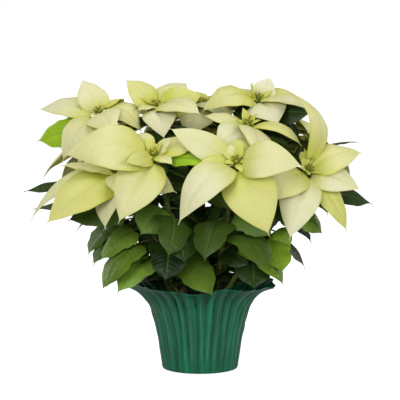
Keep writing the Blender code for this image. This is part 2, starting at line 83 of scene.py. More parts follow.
# Nursery pot: it stands on the cover's base.
POT_FOOT_RADIUS = 50.0
POT_TOP_RADIUS = 69.0
POT_COLLAR_RADIUS = 71.5
POT_COLLAR_DEPTH = 11.0
POT_FOOT = COVER_WALL + SEAT
POT_TOP = 106.0
POT_WALL = 1.6
POT_COLUMNS = 72

# Soil
SOIL_TOP = 97.0
SOIL_CROWN = 3.0
MOUND_SHARES = (1, 0.94, 0.85, 0.75, 0.65, 0.55, 0.45, 0.35, 0.25, 0.15, 0.07, 0.0)
CRUMBS = 320
CRUMB_SIZES = (0.9, 2.8)
PERLITE_BITS = 46
PERLITE_SIZES = (0.9, 1.9)

# Stems
TRUNKS = {"left": (-27, -4), "right": (23, -17), "rear": (7, 26)}
TRUNK_RADIUS = 7.0
TRUNK_SIDES = 8
TRUNK_DEPTH = 42.0
TRUNK_RISE = 50.0
BRANCH_FOOT_RADIUS = 3.7
BRANCH_TIP_RADIUS = 2.6
BRANCH_ROOT_DEPTH = 4.0  # how far a branch runs into its trunk

# Bloom: the hub that the bracts grow from, and the flower cups on it.
HUB_RADIUS = 5.0
HUB_FOOT_RADIUS = 2.8
HUB_HEIGHT = 9.0
HUB_OVERLAP = 1.0  # how far the hub reaches down over its branch
ROOT_DEPTH = 2.4
CUP_BASE_HEIGHT = 3.0
CUP_COUNT = 6
CUP_LENGTH = 8.0
CUP_SPREAD = 6.2
CUP_RADIUS = 2.3
CUP_HALF_HEIGHT = 3.3  # of its barrel
STAMENS = 5
INNER_BRACTS = 5

# Leaves that fill the inside of the plant, in bands on each branch. A band is given by its number of
# leaves, its two heights as shares of the branch, and the leaves' length, width, fall and furthest reach.
Band = namedtuple("Band", "count heights length width fall reach")
FILLING_BANDS = (
    Band(6, (0.30, 0.76), (60, 86), (42, 54), (-0.9, -0.3), 112),
    Band(5, (0.80, 0.97), (58, 82), (36, 46), (-0.5, 0.0), 205),
    Band(4, (0.10, 0.30), (48, 70), (36, 46), (-0.3, 0.5), 90),
    Band(6, (0.66, 0.95), (52, 80), (36, 48), (-0.3, 0.35), 185),
)
FILLING_TRIES = 36
FRONT_PULL = 0.38  # how much less they reach towards the front, where the larger leaves show
FILLING_GAP = 1.3  # nothing cuts through a new leaf's plain form moved this far up or down
FILLING_BOW = 9.0
FILLING_FLOOR = 135.0  # lowest height of their tips

# Blades, mm
BLADE_THICKNESS = 0.8
WIDEST = 0.33  # a blade's widest place, as a share of its length
EDGE_DROP = 0.16  # how far a blade's edges hang, as a share of its half width
GROOVE_DEPTH = 0.05  # of the groove over the rib, as a share of the half width
GROOVE_WIDTH = 0.13
LEAF_LOBE = 0.16  # how far a leaf's lobes stand out, as a share of its half width
# Stalks, as shares of the way from a blade's root to its tip.
BRACT_STALK = 0.12
DRAWN_LEAF_STALK = 0.30
LEAF_STALK = 0.34
FILLING_STALK = 0.28
INNER_STALK = 0.10
BRACT_STATIONS = (0.14, 0.36, 0.62, 0.84)
SMALL_STATIONS = (0.18, 0.42, 0.76)
SMALL_WIDTH = 30.0
LEAF_STATIONS = (0.12, 0.34, 0.58, 0.82)
LAYER_STATIONS = (0.0, *LEAF_STATIONS, 0.97)
LAYER_STEPS = 8  # of a branch's plain form
LAYER_RADIUS = 4.0
FOUND_WITHIN = 0.25  # how near a solid's corner has to be to a blade's, mm
BLADE_COLUMNS = 16
BLADE_ROWS = 30
SMALL_COLUMNS = 8
SMALL_ROWS = 14
STEM_COLUMNS = 12
STEM_ROWS = 48
RIB_COLUMNS = 8
RIB_ROWS = 14
RIB_END = 0.86  # how far the rib runs along its blade
RIB_TIP_RADIUS = 0.16

# A branch and its bloom: the plant it grows from, its height there, the bloom's centre and facing, the
# bracts and leaves that are drawn one by one (a leaf with its share of the branch), the number, length and
# width of the other bracts, and how many half-long ones stand inside them.
Bloom = namedtuple("Bloom", "plant foot centre facing bracts leaves ring whorl")
# A blade: tip, width and bow height in mm, and the way its upper face looks.
Shape = namedtuple("Shape", "tip width bow face", defaults=((0, -0.45, 0.9),))
# Its stalk's share of its way, the size of its lobes, and the way in which it gives to others.
Blade = namedtuple("Blade", "root tip width bow face stalk lobe give")
# How one blade differs from the next: lengths in mm, the rest as shares and turns.
Habit = namedtuple("Habit", "wave beat phase curl bulge notch twist pale green")

FRONT = (0, -0.9, 0.45)
LOW = (0, -0.6, 0.8)
BLOOMS = {
    "a": Bloom("left", 4, (-149, -30, 387), (-0.35, -0.45, 0.82), [
        Shape((-201, -75, 316), 54, 20, (-0.3, -0.7, 0.6)),
        Shape((-176, 6, 434), 48, 8, (0.2, -0.8, 0.6)),
        Shape((-84, -50, 356), 58, 26, (0.3, -0.5, 0.8)),
        Shape((-244, 20, 388), 50, 16, (-0.2, -0.5, 0.85)),
    ], [
        (0.88, Shape((-242, -34, 344), 58, 20, (-0.1, -0.8, 0.55))),
        (0.62, Shape((-261, -50, 272), 34, 14, (-0.5, 0.5, 0.7))),
        (0.42, Shape((-144, -70, 126), 50, 20, (-0.4, -0.7, 0.6))),
    ], (7, 84, 50), 1),
    "b": Bloom("left", 13, (-118, -125, 307), (-0.55, -0.60, 0.58), [
        Shape((-217, -175, 234), 72, 18, (-0.3, -0.75, 0.6)),
        Shape((-200, -130, 316), 36, 6, (-0.1, -0.3, 1.0)),
        Shape((-246, -85, 231), 54, 30, (-0.6, -0.3, 0.7)),
    ], [
        (0.74, Shape((-190, -122, 235), 60, 12, (-0.3, -0.75, 0.55))),
        (0.44, Shape((-121, -112, 128), 50, 20, (-0.2, -0.8, 0.55))),
        (0.62, Shape((-146, -84, 173), 50, 14, (-0.4, -0.6, 0.7))),
        (0.66, Shape((-250, -38, 243), 40, 16, (-0.5, 0.5, 0.7))),
    ], (7, 84, 52), 1),
    "c": Bloom("left", 31, (-65, -150, 332), (-0.20, -0.74, 0.64), [
        Shape((-114, -196, 238), 68, 20, FRONT),
        Shape((-193, -168, 330), 74, 34, (0, -0.85, 0.55)),
        Shape((-104, -212, 324), 26, 5, FRONT),
        Shape((-40, -158, 357), 20, 3, (-0.3, -0.7, 0.6)),
        Shape((-38, -176, 320), 22, 4, FRONT),
        Shape((0, -104, 346), 42, 10, LOW),
    ], [
        (0.93, Shape((20, -150, 318), 32, 12, (0, -0.55, 0.85))),
        (0.66, Shape((-85, -142, 216), 62, 14, FRONT)),
        (0.50, Shape((-50, -126, 147), 60, 12, FRONT)),
    ], (6, 80, 50), 1),
    "d": Bloom("left", 40, (-65, -20, 397), (-0.10, -0.45, 0.89), [
        Shape((-52, -82, 349), 50, 16, (0, -0.85, 0.55)),
        Shape((4, -16, 412), 48, 8, (0.2, -0.85, 0.5)),
        Shape((-111, -4, 434), 50, 8, (0.1, -0.8, 0.6)),
        Shape((-20, 50, 428), 46, 10, LOW),
    ], [
        (0.84, Shape((-6, -86, 326), 54, 12, LOW)),
        (0.32, Shape((20, -130, 127), 58, 14, FRONT)),
        (0.72, Shape((-36, -66, 262), 62, 14, FRONT)),
        (0.44, Shape((-92, -62, 190), 60, 14, FRONT)),
    ], (7, 86, 52), 1),
    "e": Bloom("right", 22, (51, -150, 322), (0.08, -0.76, 0.64), [
        Shape((-32, -198, 236), 58, 34, (-0.25, -0.85, 0.5)),
        Shape((97, -196, 220), 76, 18, FRONT),
        Shape((145, -176, 316), 62, 22, (0, -0.85, 0.55)),
        Shape((-44, -134, 368), 44, 8, (-0.2, -0.8, 0.6)),
    ], [
        (0.70, Shape((102, -128, 212), 64, 14, (0.2, -0.8, 0.6))),
        (0.84, Shape((12, -104, 262), 56, 14, FRONT)),
        (0.44, Shape((72, -117, 168), 46, 12, FRONT)),
    ], (6, 80, 50), 1),
    "f": Bloom("right", 40, (70, -60, 371), (0.02, -0.60, 0.80), [
        Shape((24, -128, 331), 58, 14, (0, -0.9, 0.45)),
        Shape((149, -84, 340), 44, 18, (0.3, -0.3, 0.9)),
        Shape((4, -62, 383), 34, 6, (-0.1, -0.5, 0.87)),
    ], [
        (0.90, Shape((18, -50, 334), 52, 10, LOW)),
        (0.62, Shape((40, -72, 256), 60, 14, FRONT)),
        (0.45, Shape((10, -76, 200), 58, 14, FRONT)),
    ], (7, 82, 48), 1),
    "g": Bloom("right", 13, (156, -92, 306), (0.42, -0.62, 0.66), [
        Shape((121, -46, 421), 62, 44, (0.8, -0.35, 0.4)),
        Shape((232, -108, 278), 50, 12, (0.2, -0.8, 0.55)),
        Shape((238, -72, 330), 64, 16, (0.05, -0.85, 0.5)),
        Shape((126, -157, 210), 60, 18, (0, -0.92, 0.4)),
        Shape((213, -112, 216), 38, 16, (0.6, -0.5, 0.5)),
        Shape((152, -108, 345), 20, 4, (0.4, -0.8, 0.4)),
    ], [
        (0.72, Shape((180, -72, 210), 46, 14, (0.3, -0.7, 0.6))),
        (0.60, Shape((131, -66, 184), 44, 14, (0.2, -0.7, 0.7))),
        (0.80, Shape((255, -58, 254), 48, 16, (0.4, -0.5, 0.7))),
        (0.42, Shape((84, -104, 144), 52, 12, (0.2, -0.8, 0.6))),
    ], (7, 84, 52), 1),
    "h": Bloom("rear", 40, (88, 10, 405), (0.05, -0.45, 0.89), [
        Shape((116, -52, 369), 62, 14, (0.1, -0.88, 0.45)),
        Shape((0, -22, 385), 58, 26, (-0.2, -0.6, 0.8)),
        Shape((106, 22, 437), 36, 5, (0.1, -0.85, 0.5)),
        Shape((76, -4, 430), 18, 3, (-0.3, -0.6, 0.7)),
        Shape((166, 70, 392), 52, 18, (0.3, -0.3, 0.9)),
    ], [
        (0.86, Shape((150, -14, 346), 56, 12, (0.2, -0.7, 0.65))),
        (0.60, Shape((92, -40, 258), 60, 14, FRONT)),
    ], (7, 86, 52), 1),
    "i": Bloom("right", 31, (168, 62, 345), (0.62, 0.30, 0.72), [], [
        (0.80, Shape((239, 20, 342), 40, 12, (0.4, 0.1, 0.9))),
    ], (8, 94, 60), 1),
    "j": Bloom("rear", 13, (92, 158, 330), (0.34, 0.66, 0.67), [], [
        (0.85, Shape((158, 92, 312), 60, 14, (0.2, 0.1, 0.95))),
    ], (8, 98, 62), 1),
    "k": Bloom("rear", 22, (-30, 150, 352), (-0.12, 0.66, 0.74), [], [
        (0.78, Shape((-100, 104, 326), 62, 14, (-0.2, 0.1, 0.95))),
    ], (8, 98, 62), 1),
    "l": Bloom("left", 22, (-150, 96, 338), (-0.62, 0.40, 0.68), [], [
        (0.84, Shape((-80, 56, 340), 58, 12, (0.1, 0.0, 1.0))),
    ], (8, 98, 60), 1),
    "m": Bloom("rear", 31, (4, 62, 398), (0.02, 0.05, 1.0), [], [
        (0.72, Shape((-8, -12, 272), 62, 14, FRONT)),
        (0.50, Shape((-24, -12, 226), 60, 14, FRONT)),
        (0.32, Shape((30, -40, 170), 54, 14, FRONT)),
    ], (8, 94, 60), 1),
}
LEAVES_A_BRANCH = 6
LEAF_HEIGHTS = (0.92, 0.40)  # highest and lowest leaf root, as shares of the branch
LEAF_FLOOR = 150.0  # lowest height of the tips of leaves that aren't drawn one by one
GOLDEN_TURN = math.radians(137.5)

# Dark leaves that stand behind the upper blooms: branch, share of its height, and shape.
STANDING_LEAVES = (
    ("h", 0.93, Shape((165, -30, 385), 46, 8, (0.1, -0.9, 0.4))),
    ("h", 0.90, Shape((42, 30, 386), 36, 6, (0.0, -0.9, 0.4))),
)

# Blades whose colour stands out, by bloom and number: how pale, and how yellow-green, from 0 to 1.
BRACT_TONES = {
    "a": {0: (0.5, 0.10), 1: (0.6, 0.0), 2: (0.1, 0.05), 3: (1.0, 0.15)},
    "b": {0: (0.0, 0.45), 1: (0.2, 0.25), 2: (0.8, 0.35)},
    "c": {0: (0.3, 0.10), 1: (0.3, 0.12), 2: (0.1, 0.5), 3: (0.6, 0.1), 4: (0.4, 0.2), 5: (0.3, 0.3)},
    "d": {0: (0.9, 0.0), 1: (0.0, 0.5), 2: (0.3, 0.4)},
    "e": {0: (0.9, 0.05), 1: (0.0, 0.35), 2: (0.5, 0.05), 3: (0.7, 0.1)},
    "f": {0: (0.9, 0.05), 1: (0.2, 0.3), 2: (0.4, 0.15)},
    "g": {0: (0.2, 0.15), 1: (0.7, 0.0), 2: (0.2, 0.1), 3: (1.0, 0.0), 4: (0.0, 0.6), 5: (0.0, 0.9)},
    "h": {0: (1.0, 0.0), 1: (0.2, 0.3), 2: (1.0, 0.0), 3: (0.0, 1.0), 4: (0.1, 0.2)},
}
# Leaf a0's full yellow-green is painted light: the glow of light shining through it from behind.
LEAF_TONES = {
    "a": {0: (0.6, 1.0), 2: (1.0, 0.40), 4: (0.4, 0.15), 5: (0.3, 0.1)},
    "b": {0: (0.2, 0.05), 1: (0.9, 0.25), 2: (0.7, 0.25), 3: (0.3, 0.1), 4: (0.5, 0.2), 5: (0.35, 0.15)},
    "c": {0: (0.5, 1.0), 1: (0.75, 0.08), 2: (0.0, 0.0), 3: (0.15, 0.05), 4: (0.1, 0.0)},
    "d": {1: (0.4, 0.18), 3: (0.3, 0.0)},
    "e": {0: (0.7, 0.05), 2: (0.1, 0.0), 3: (0.2, 0.05), 4: (0.2, 0.1), 5: (0.35, 0.35)},
    "g": {0: (0.6, 0.4), 1: (0.7, 0.5), 2: (0.1, 0.0), 3: (0.2, 0.05), 4: (0.5, 0.5), 5: (0.1, 0.0)},
    "h": {0: (0.0, 0.0)},
}


# The way of growing, as in the part

def turns(sides, start=0.0):
    return [start + 2 * math.pi * i / sides for i in range(sides)]


def around(turn, z=0.0):
    """The direction at a turn about the middle, rising by z."""
    return Vector((math.cos(turn), math.sin(turn), z))


def swung(first, second, turn):
    """The direction at a turn from one unit vector towards another across it."""
    return first * math.cos(turn) + second * math.sin(turn)


def bend(start, control, end, u):
    return start * (1 - u) ** 2 + control * (2 * u * (1 - u)) + end * u * u


def frame_at(axis):
    """Two unit vectors across an axis, the second one rising."""
    side = UP.cross(axis)
    side = side.normalized() if side.length > 1e-3 else Vector((1, 0, 0))
    return side, axis.cross(side).normalized()


def lobed(s, lobe):
    """How far a blade's two lobes swell it at share s of its length."""
    return 1 + lobe * math.sin(3.2 * math.pi * s) ** 3


def outline(s, lobe):
    """Half width of a blade, as a share of its widest, at share s of its length."""
    return (s / WIDEST) ** 0.55 * ((1 - s) / 0.67) ** 1.12 * lobed(s, lobe)


def fine_outline(s, lobe):
    """The same width on a smoother curve: a round base, fuller sides and a drawn-out tip."""
    if s < WIDEST:
        body = math.sqrt(1 - (1 - s / WIDEST) ** 2.5)
    else:
        body = max(0.0, 1 - ((s - WIDEST) / 0.62) ** 2) ** 0.95
    tail = 0.09 * (1 - s) ** 0.6 * min(1.0, s / WIDEST)
    return math.hypot(body, tail) * lobed(s, lobe)


def blade_line(blade, u):
    """Middle of the blade at share u of its way, with its side and its upper normal."""
    chord = blade.tip - blade.root
    side = chord.cross(blade.face).normalized()
    rise = side.cross(chord).normalized()
    control = blade.root + chord * 0.45 + rise * 2 * blade.bow
    at = bend(blade.root, control, blade.tip, u)
    tangent = ((control - blade.root) * (1 - u) + (blade.tip - control) * u).normalized()
    return at, side, side.cross(tangent).normalized()


def stations_of(blade):
    if blade.lobe:
        return LEAF_STATIONS
    return BRACT_STATIONS if blade.width > SMALL_WIDTH else SMALL_STATIONS


def variants(blade):
    """The blade as drawn, then bent a little further from that each time, then shorter."""
    steps = product((0, 1, 2, 3), (0, 1, -1, 2, -2, 3, -3), (0, 1, -1, 2, -2))
    ranked = sorted(steps, key=lambda k: 3.1 * k[0] + abs(k[1]) + 0.7 * abs(k[2]))
    chord = blade.tip - blade.root
    for short, give, roll in ranked:
        tip = blade.tip + blade.give * (7.0 * give) - chord * (0.06 * short)
        face = Matrix.Rotation(math.radians(13 * roll), 3, chord) @ blade.face
        yield blade._replace(tip=tip, face=face, width=blade.width * (1 - 0.05 * short))


def trunk_of(plant):
    x, y = TRUNKS[plant]
    return Vector((x, y, 0))


def branch_line(bloom):
    """The branch's middle as a function of the share of its way, and its two ends' directions."""
    base = trunk_of(bloom.plant)
    away = Vector(bloom.centre) - base
    facet = 2 * math.pi / TRUNK_SIDES
    turn = round(math.atan2(away.y, away.x) / facet) * facet
    out = around(turn)
    flat = TRUNK_RADIUS * math.cos(facet / 2)
    start = base + out * (flat + SEAT) + UP * (SOIL_TOP + SOIL_CROWN + bloom.foot)
    facing = Vector(bloom.facing).normalized()
    end = Vector(bloom.centre) - facing * (HUB_HEIGHT + SEAT)
    first, second = start + out * 16, end - facing * 70

    def at(t):
        return (
            start * (1 - t) ** 3
            + first * (3 * t * (1 - t) ** 2)
            + second * (3 * t * t * (1 - t))
            + end * t**3
        )

    return at, out, facing


def drawn_blade(root, shape, stalk, lobe):
    """A blade with its own tip."""
    tip = Vector(shape.tip)
    return Blade(root, tip, shape.width, shape.bow, Vector(shape.face), stalk, lobe, Vector((0, 1, 0)))


def bract_root(bloom, order, count, away):
    """A place inside the hub, on the bract's side. Roots climb the hub from the outermost bract inwards."""
    facing = Vector(bloom.facing).normalized()
    out = (away - facing * away.dot(facing)).normalized()
    return Vector(bloom.centre) - facing * (HUB_HEIGHT * (0.85 - 0.6 * order / count)) + out * ROOT_DEPTH


def bract_blades(name, bloom):
    """The bracts of a bloom: those drawn one by one, then rings that fill the gaps between them."""
    facing = Vector(bloom.facing).normalized()
    side, rise = frame_at(facing)
    count, length, width = bloom.ring
    total = count + bloom.whorl
    blades = []
    taken = []
    for order, shape in enumerate(bloom.bracts):
        away = Vector(shape.tip) - Vector(bloom.centre)
        root = bract_root(bloom, order, total, away)
        blades.append(drawn_blade(root, shape, BRACT_STALK, 0.0))
        taken.append(math.atan2(away.dot(rise), away.dot(side)))
    draw = random.Random(f"{SEED} bracts {name}")
    for order in range(total):
        inner = order >= count
        turn = order * GOLDEN_TURN + draw.uniform(-0.15, 0.15)
        reach = length * draw.uniform(0.9, 1.1) * (0.5 if inner else 1.0)
        slope = draw.uniform(0.55, 0.75) if inner else 0.25 * (order % 3) - 0.28
        gap = min((abs(math.remainder(turn - t, 2 * math.pi)) for t in taken), default=9)
        if gap < (0.35 if inner else 0.5):
            continue
        if not inner:
            taken.append(turn)
        out = swung(side, rise, turn)
        root = bract_root(bloom, order, total, out)
        tip = root + swung(out, facing, slope) * reach - UP * (reach * 0.22)
        bow = reach * (0.10 if inner else 0.17)
        broad = width * draw.uniform(0.9, 1.1) * (0.42 if inner else 1.0)
        blades.append(Blade(root, tip, broad, bow, facing, BRACT_STALK, 0.0, facing))
    return blades


def leaf_blades(name, bloom):
    """The leaves of a branch: those drawn one by one, then others from the top of the branch down."""
    at = branch_line(bloom)[0]
    blades = [drawn_blade(at(t), shape, DRAWN_LEAF_STALK, LEAF_LOBE) for t, shape in bloom.leaves]
    draw = random.Random(f"{SEED} leaves {name}")
    high, low = LEAF_HEIGHTS
    for order in range(len(blades), LEAVES_A_BRANCH):
        t = high + (low - high) * (order + 0.5) / LEAVES_A_BRANCH
        root = at(t)
        outward = Vector((root.x, root.y, 0)) * 0.012 + Vector(bloom.facing) * 0.6
        turn = math.atan2(outward.y, outward.x) + draw.uniform(-1.3, 1.3)
        reach = draw.uniform(100, 122)
        away = around(turn, draw.uniform(-0.65, -0.25))
        tip = root + away.normalized() * reach
        tip.z = max(tip.z, LEAF_FLOOR)
        face = (UP + away * 0.3).normalized()
        width = draw.uniform(54, 64)
        blades.append(Blade(root, tip, width, reach * 0.2, face, LEAF_STALK, LEAF_LOBE, UP))
    return blades


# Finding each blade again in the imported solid

def corners_of(node):
    """A search over the corners of a solid, in mm."""
    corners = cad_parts[node].data.vertices
    tree = KDTree(len(corners))
    for i, corner in enumerate(corners):
        tree.insert(corner.co / MM, i)
    tree.balance()
    return tree


def as_built(blade, corners):
    """The variant of a blade that the solid holds, or None where it holds none."""
    s = stations_of(blade)[1]
    for tried in variants(blade):
        at, side, normal = blade_line(tried, tried.stalk + (1 - tried.stalk) * s)
        half = tried.width / 2 * outline(s, tried.lobe)
        middle = at + normal * (BLADE_THICKNESS / 2 - EDGE_DROP * half)
        marks = (tried.tip, middle - side * half, middle + side * half)
        if all(corners.find(mark)[2] < FOUND_WITHIN for mark in marks):
            return tried
    return None


def habit_of(label, tones, leaf):
    """What sets one blade apart from the others, drawn from its label unless its tone is given."""
    draw = random.Random(f"{SEED} habit {label}")
    pale = draw.uniform(0.0, 0.3 if leaf else 0.6)
    green = draw.uniform(0.0, 0.15 if leaf else 0.3)
    if tones:
        pale, green = tones
    return Habit(
        wave=draw.uniform(0.5, 1.3) if leaf else draw.uniform(0.3, 1.0),
        beat=draw.uniform(2.2, 3.4),
        phase=draw.random(),
        curl=draw.uniform(0.0, 3.0),
        bulge=draw.uniform(0.06, 0.10),
        notch=draw.uniform(0.07, 0.12),
        twist=math.radians(draw.uniform(-5, 5)),
        pale=pale,
        green=green,
    )


def found_blades(kind, name, blades):
    """Each blade that a bloom's solid of that kind holds, with its habit."""
    node = f"{kind}_{name}"
    corners = corners_of(node)
    leaf = kind == "branch"
    tones = (LEAF_TONES if leaf else BRACT_TONES).get(name, {})
    found = []
    for i, blade in enumerate(blades):
        built = as_built(blade, corners)
        if built:
            found.append((built, habit_of(f"{node} {i}", tones.get(i), leaf)))
    return found


# Leaves that the solids don't have: in their plain form they keep clear of branches, leaves and bracts

def blade_layer(blade, lift):
    """Points and faces of a coarse blade without its stalk, moved up by that much."""
    points, faces = [], []
    for s in LAYER_STATIONS:
        at, side, normal = blade_line(blade, blade.stalk + (1 - blade.stalk) * s)
        half = blade.width / 2 * fine_outline(s, blade.lobe)
        low = normal * (lift - EDGE_DROP * half)
        points += [at - side * half + low, at + normal * lift, at + side * half + low]
    for row in range(len(LAYER_STATIONS) - 1):
        a = row * 3
        faces += [(a, a + 1, a + 4, a + 3), (a + 1, a + 2, a + 5, a + 4)]
    return points, faces


def branch_layer(bloom):
    """Points and faces of a branch as a coarse four-sided tube."""
    at = branch_line(bloom)[0]
    points, faces = [], []
    corners = [Vector(c) * LAYER_RADIUS for c in ((1, 0, 0), (0, 1, 0), (-1, 0, 0), (0, -1, 0))]
    for i in range(LAYER_STEPS + 1):
        points += [at(i / LAYER_STEPS) + corner for corner in corners]
    for row in range(LAYER_STEPS):
        a = row * 4
        faces += [(a + i, a + (i + 1) % 4, a + 4 + (i + 1) % 4, a + 4 + i) for i in range(4)]
    return points, faces


class Thicket:
    """The plain forms of branches, leaves and bracts, which stand in the way of a new leaf."""

    def __init__(self):
        self.trees = []

    def add(self, points, faces):
        self.trees.append(BVHTree.FromPolygons(points, faces))

    def takes(self, blade):
        """Adds a blade and says so, where its plain form is clear of the rest."""
        for lift in (-FILLING_GAP, FILLING_GAP):
            layer = BVHTree.FromPolygons(*blade_layer(blade, lift))
            if any(layer.overlap(tree) for tree in self.trees):
                return False
        self.add(*blade_layer(blade, 0.0))
        return True


def filling_leaf(bloom, band, share, draw):
    """One draw of a leaf that springs from the branch at that share of the band's height."""
    low, high = band.heights
    root = branch_line(bloom)[0](low + (high - low) * share)
    turn = draw.uniform(0, 2 * math.pi)
    away = around(turn, draw.uniform(*band.fall)).normalized()
    tip = root + away * draw.uniform(*band.length)
    level = Vector((tip.x, tip.y, 0))
    reach = band.reach * (1 - FRONT_PULL * max(0.0, -level.normalized().y))
    tip -= level * max(0.0, 1 - reach / max(level.length, 1.0))
    tip.z = max(tip.z, FILLING_FLOOR)
    face = (UP * 0.7 + Vector((away.x, away.y, 0)) * 0.6).normalized()
    width = draw.uniform(*band.width)
    return Blade(root, tip, width, FILLING_BOW, face, FILLING_STALK, LEAF_LOBE, UP)


def filling_leaves(thicket):
    """The standing leaves, then the filling leaves of every branch, with their habits."""
    filling = {name: [] for name in BLOOMS}
    for name, share, shape in STANDING_LEAVES:
        root = branch_line(BLOOMS[name])[0](share)
        drawn = drawn_blade(root, shape, FILLING_STALK, LEAF_LOBE)
        fitting = next((tried for tried in variants(drawn) if thicket.takes(tried)), None)
        if fitting:
            filling[name].append((fitting, habit_of(f"standing {name} {share}", (0.1, 0.0), True)))
    for row, band in enumerate(FILLING_BANDS):
        for name, bloom in BLOOMS.items():
            draw = random.Random(f"{SEED} filling {name} {row}")
            for order in range(band.count):
                for attempt in range(FILLING_TRIES):
                    blade = filling_leaf(bloom, band, (order + 0.5) / band.count, draw)
                    if thicket.takes(blade):
                        tone = (draw.uniform(0, 0.25), 0.0)
                        filling[name].append((blade, habit_of(f"filling {name} {row} {order}", tone, True)))
                        break
    return filling


# Working with objects

def select_only(piece):
    """Makes a piece the active one and the only one selected."""
    if bpy.context.object and bpy.context.object.mode != "OBJECT":
        bpy.ops.object.mode_set(mode="OBJECT")
    bpy.ops.object.select_all(action="DESELECT")
    piece.select_set(True)
    bpy.context.view_layer.objects.active = piece


def added(primitive, **size):
    """A new primitive, with nothing else selected."""
    bpy.ops.object.select_all(action="DESELECT")
    primitive(**size)
    return bpy.context.object


def joined(name, parts):
    """Several objects as one."""
    select_only(parts[0])
    for part in parts:
        part.select_set(True)
    if len(parts) > 1:
        bpy.ops.object.join()
    parts[0].name = name
    parts[0].data.name = name
    return parts[0]


def welded(piece):
    """Closes seams and poles, where vertices lie on each other."""
    select_only(piece)
    bpy.ops.object.mode_set(mode="EDIT")
    bpy.ops.mesh.select_all(action="SELECT")
    bpy.ops.mesh.remove_doubles(threshold=WELD_REACH * MM)
    bpy.ops.object.mode_set(mode="OBJECT")
    return piece


def rounded(piece, degrees=50):
    """Smooth shading across all but the sharp edges."""
    select_only(piece)
    bpy.ops.object.shade_smooth_by_angle(angle=math.radians(degrees))
    return piece


def walled(piece, thickness, offset, inner_material=0):
    """Gives a sheet its thickness, and its other face the material that many places on."""
    select_only(piece)
    wall = piece.modifiers.new("wall", "SOLIDIFY")
    wall.thickness = thickness * MM
    wall.offset = offset
    wall.material_offset = inner_material
    bpy.ops.object.modifier_apply(modifier=wall.name)
    return piece


def painted(piece, *materials):
    piece.data.materials.clear()
    for material in materials:
        piece.data.materials.append(material)
    return piece


def finished(piece, slot, *nodes):
    """A piece that rides with the pot and stands for its nodes."""
    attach(piece, "root")
    if nodes:
        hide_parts(*nodes)
    return piece


def flat_sheet(name, columns, rows):
    """A flat sheet from -1 to 1 both ways, with its own UV map."""
    sheet = added(bpy.ops.mesh.primitive_grid_add, x_subdivisions=columns, y_subdivisions=rows, size=2)
    sheet.name = name
    return sheet


def copy_of(master, name):
    """A copy of an object with its own mesh."""
    made = master.copy()
    made.data = master.data.copy()
    made.name = name
    bpy.context.collection.objects.link(made)
    return made


def laid(sheet, place):
    """Moves each vertex of a sheet to its place, given from its share across, -1 to 1, and along, 0 to 1."""
    for vert in sheet.data.vertices:
        vert.co = place(vert.co.x, (vert.co.y + 1) / 2) * MM
    return sheet


def shell(sheet, place, material):
    """A sheet laid as a closed skin of one material."""
    return welded(painted(laid(sheet, place), material))


def marked(piece, name, values):
    """Gives every vertex its value, for the material to read."""
    piece.data.attributes.new(name, "FLOAT", "POINT").data.foreach_set("value", values)


# Sheets laid as blades, tubes and turned walls

def eased(t):
    """Shares of a blade's length, closer together at its base and tip."""
    return 0.5 - 0.5 * math.cos(math.pi * t)


def groove_depth(blade, s):
    """How deep the groove over the rib is."""
    return GROOVE_DEPTH * blade.width / 2 * fine_outline(s, blade.lobe) * (1 - 0.6 * s)


def tip_curl(habit, s):
    """How far the blade curls down towards its tip."""
    return habit.curl * s**5


def blade_place(blade, habit):
    """Where a sheet's vertices go on a blade: soft lobes, a sunken rib, a wavy edge and a notched base."""
    length = (blade.tip - blade.root).length * (1 - blade.stalk)
    sections = {}

    def section(t):
        s = eased(t)
        at, side, normal = blade_line(blade, blade.stalk + (1 - blade.stalk) * s)
        forward = normal.cross(side)
        turn = Matrix.Rotation(habit.twist * (s - 0.4), 3, forward)
        half = blade.width / 2 * fine_outline(s, blade.lobe)
        return s, at, turn @ side, turn @ normal, forward, half

    def place(across, t):
        key = round(t, 5)
        if key not in sections:
            sections[key] = section(t)
        s, at, side, normal, forward, half = sections[key]
        edge = abs(across)
        beat = habit.beat * s + habit.phase + (0.3 if across > 0 else 0.0)
        lift = -EDGE_DROP * half * edge**1.5
        lift += habit.bulge * half * math.sin(math.pi * edge) * (1 - 0.7 * s)
        lift -= groove_depth(blade, s) * math.exp(-((edge / GROOVE_WIDTH) ** 2))
        lift += habit.wave * edge**2 * math.sin(2 * math.pi * beat) * math.sin(math.pi * s) ** 0.5
        lift -= tip_curl(habit, s)
        back = habit.notch * length * edge**1.6 * (1 - s) ** 6 * min(1.0, s / 0.03)
        return at + side * (half * across) + normal * lift - forward * back

    return place


def tube_place(path, radius, rows, dome=0.5):
    """Where a sheet's vertices go on a closed tube round a path, with domed ends."""
    shares = [0.0] + [i / (rows - 2) for i in range(rows - 1)] + [1.0]
    rings = []
    side = None
    for i, k in enumerate(shares):
        axis = (path(min(k + 0.01, 1)) - path(max(k - 0.01, 0))).normalized()
        side = frame_at(axis)[0] if side is None else (side - axis * side.dot(axis)).normalized()
        r = radius(k)
        centre = path(k)
        if i in (0, rows):
            centre = centre + axis * (r * dome * (-1 if i == 0 else 1))
            r = 0.0
        rings.append((centre, side, axis.cross(side), r))

    def place(across, t):
        centre, side, rise, r = rings[round(t * rows)]
        return centre + swung(side, rise, math.pi * across) * r

    return place


def turned_place(profile, ruffle=None):
    """Where a sheet's vertices go on a wall turned about the middle, from pairs of radius and height."""
    rows = len(profile) - 1

    def place(across, t):
        row = round(t * rows)
        radius, height = profile[row]
        turn = math.pi * across
        if ruffle:
            radius, height = ruffle(turn, row, radius, height)
        return Vector((radius * math.cos(turn), radius * math.sin(turn), height))

    return place


# Wiring materials

def paint(red, green, blue):
    """A linear colour from the 0 to 255 values of a paint chart."""
    shares = [value / 255 for value in (red, green, blue)]
    return (*[v / 12.92 if v < 0.04045 else ((v + 0.055) / 1.055) ** 2.4 for v in shares], 1.0)


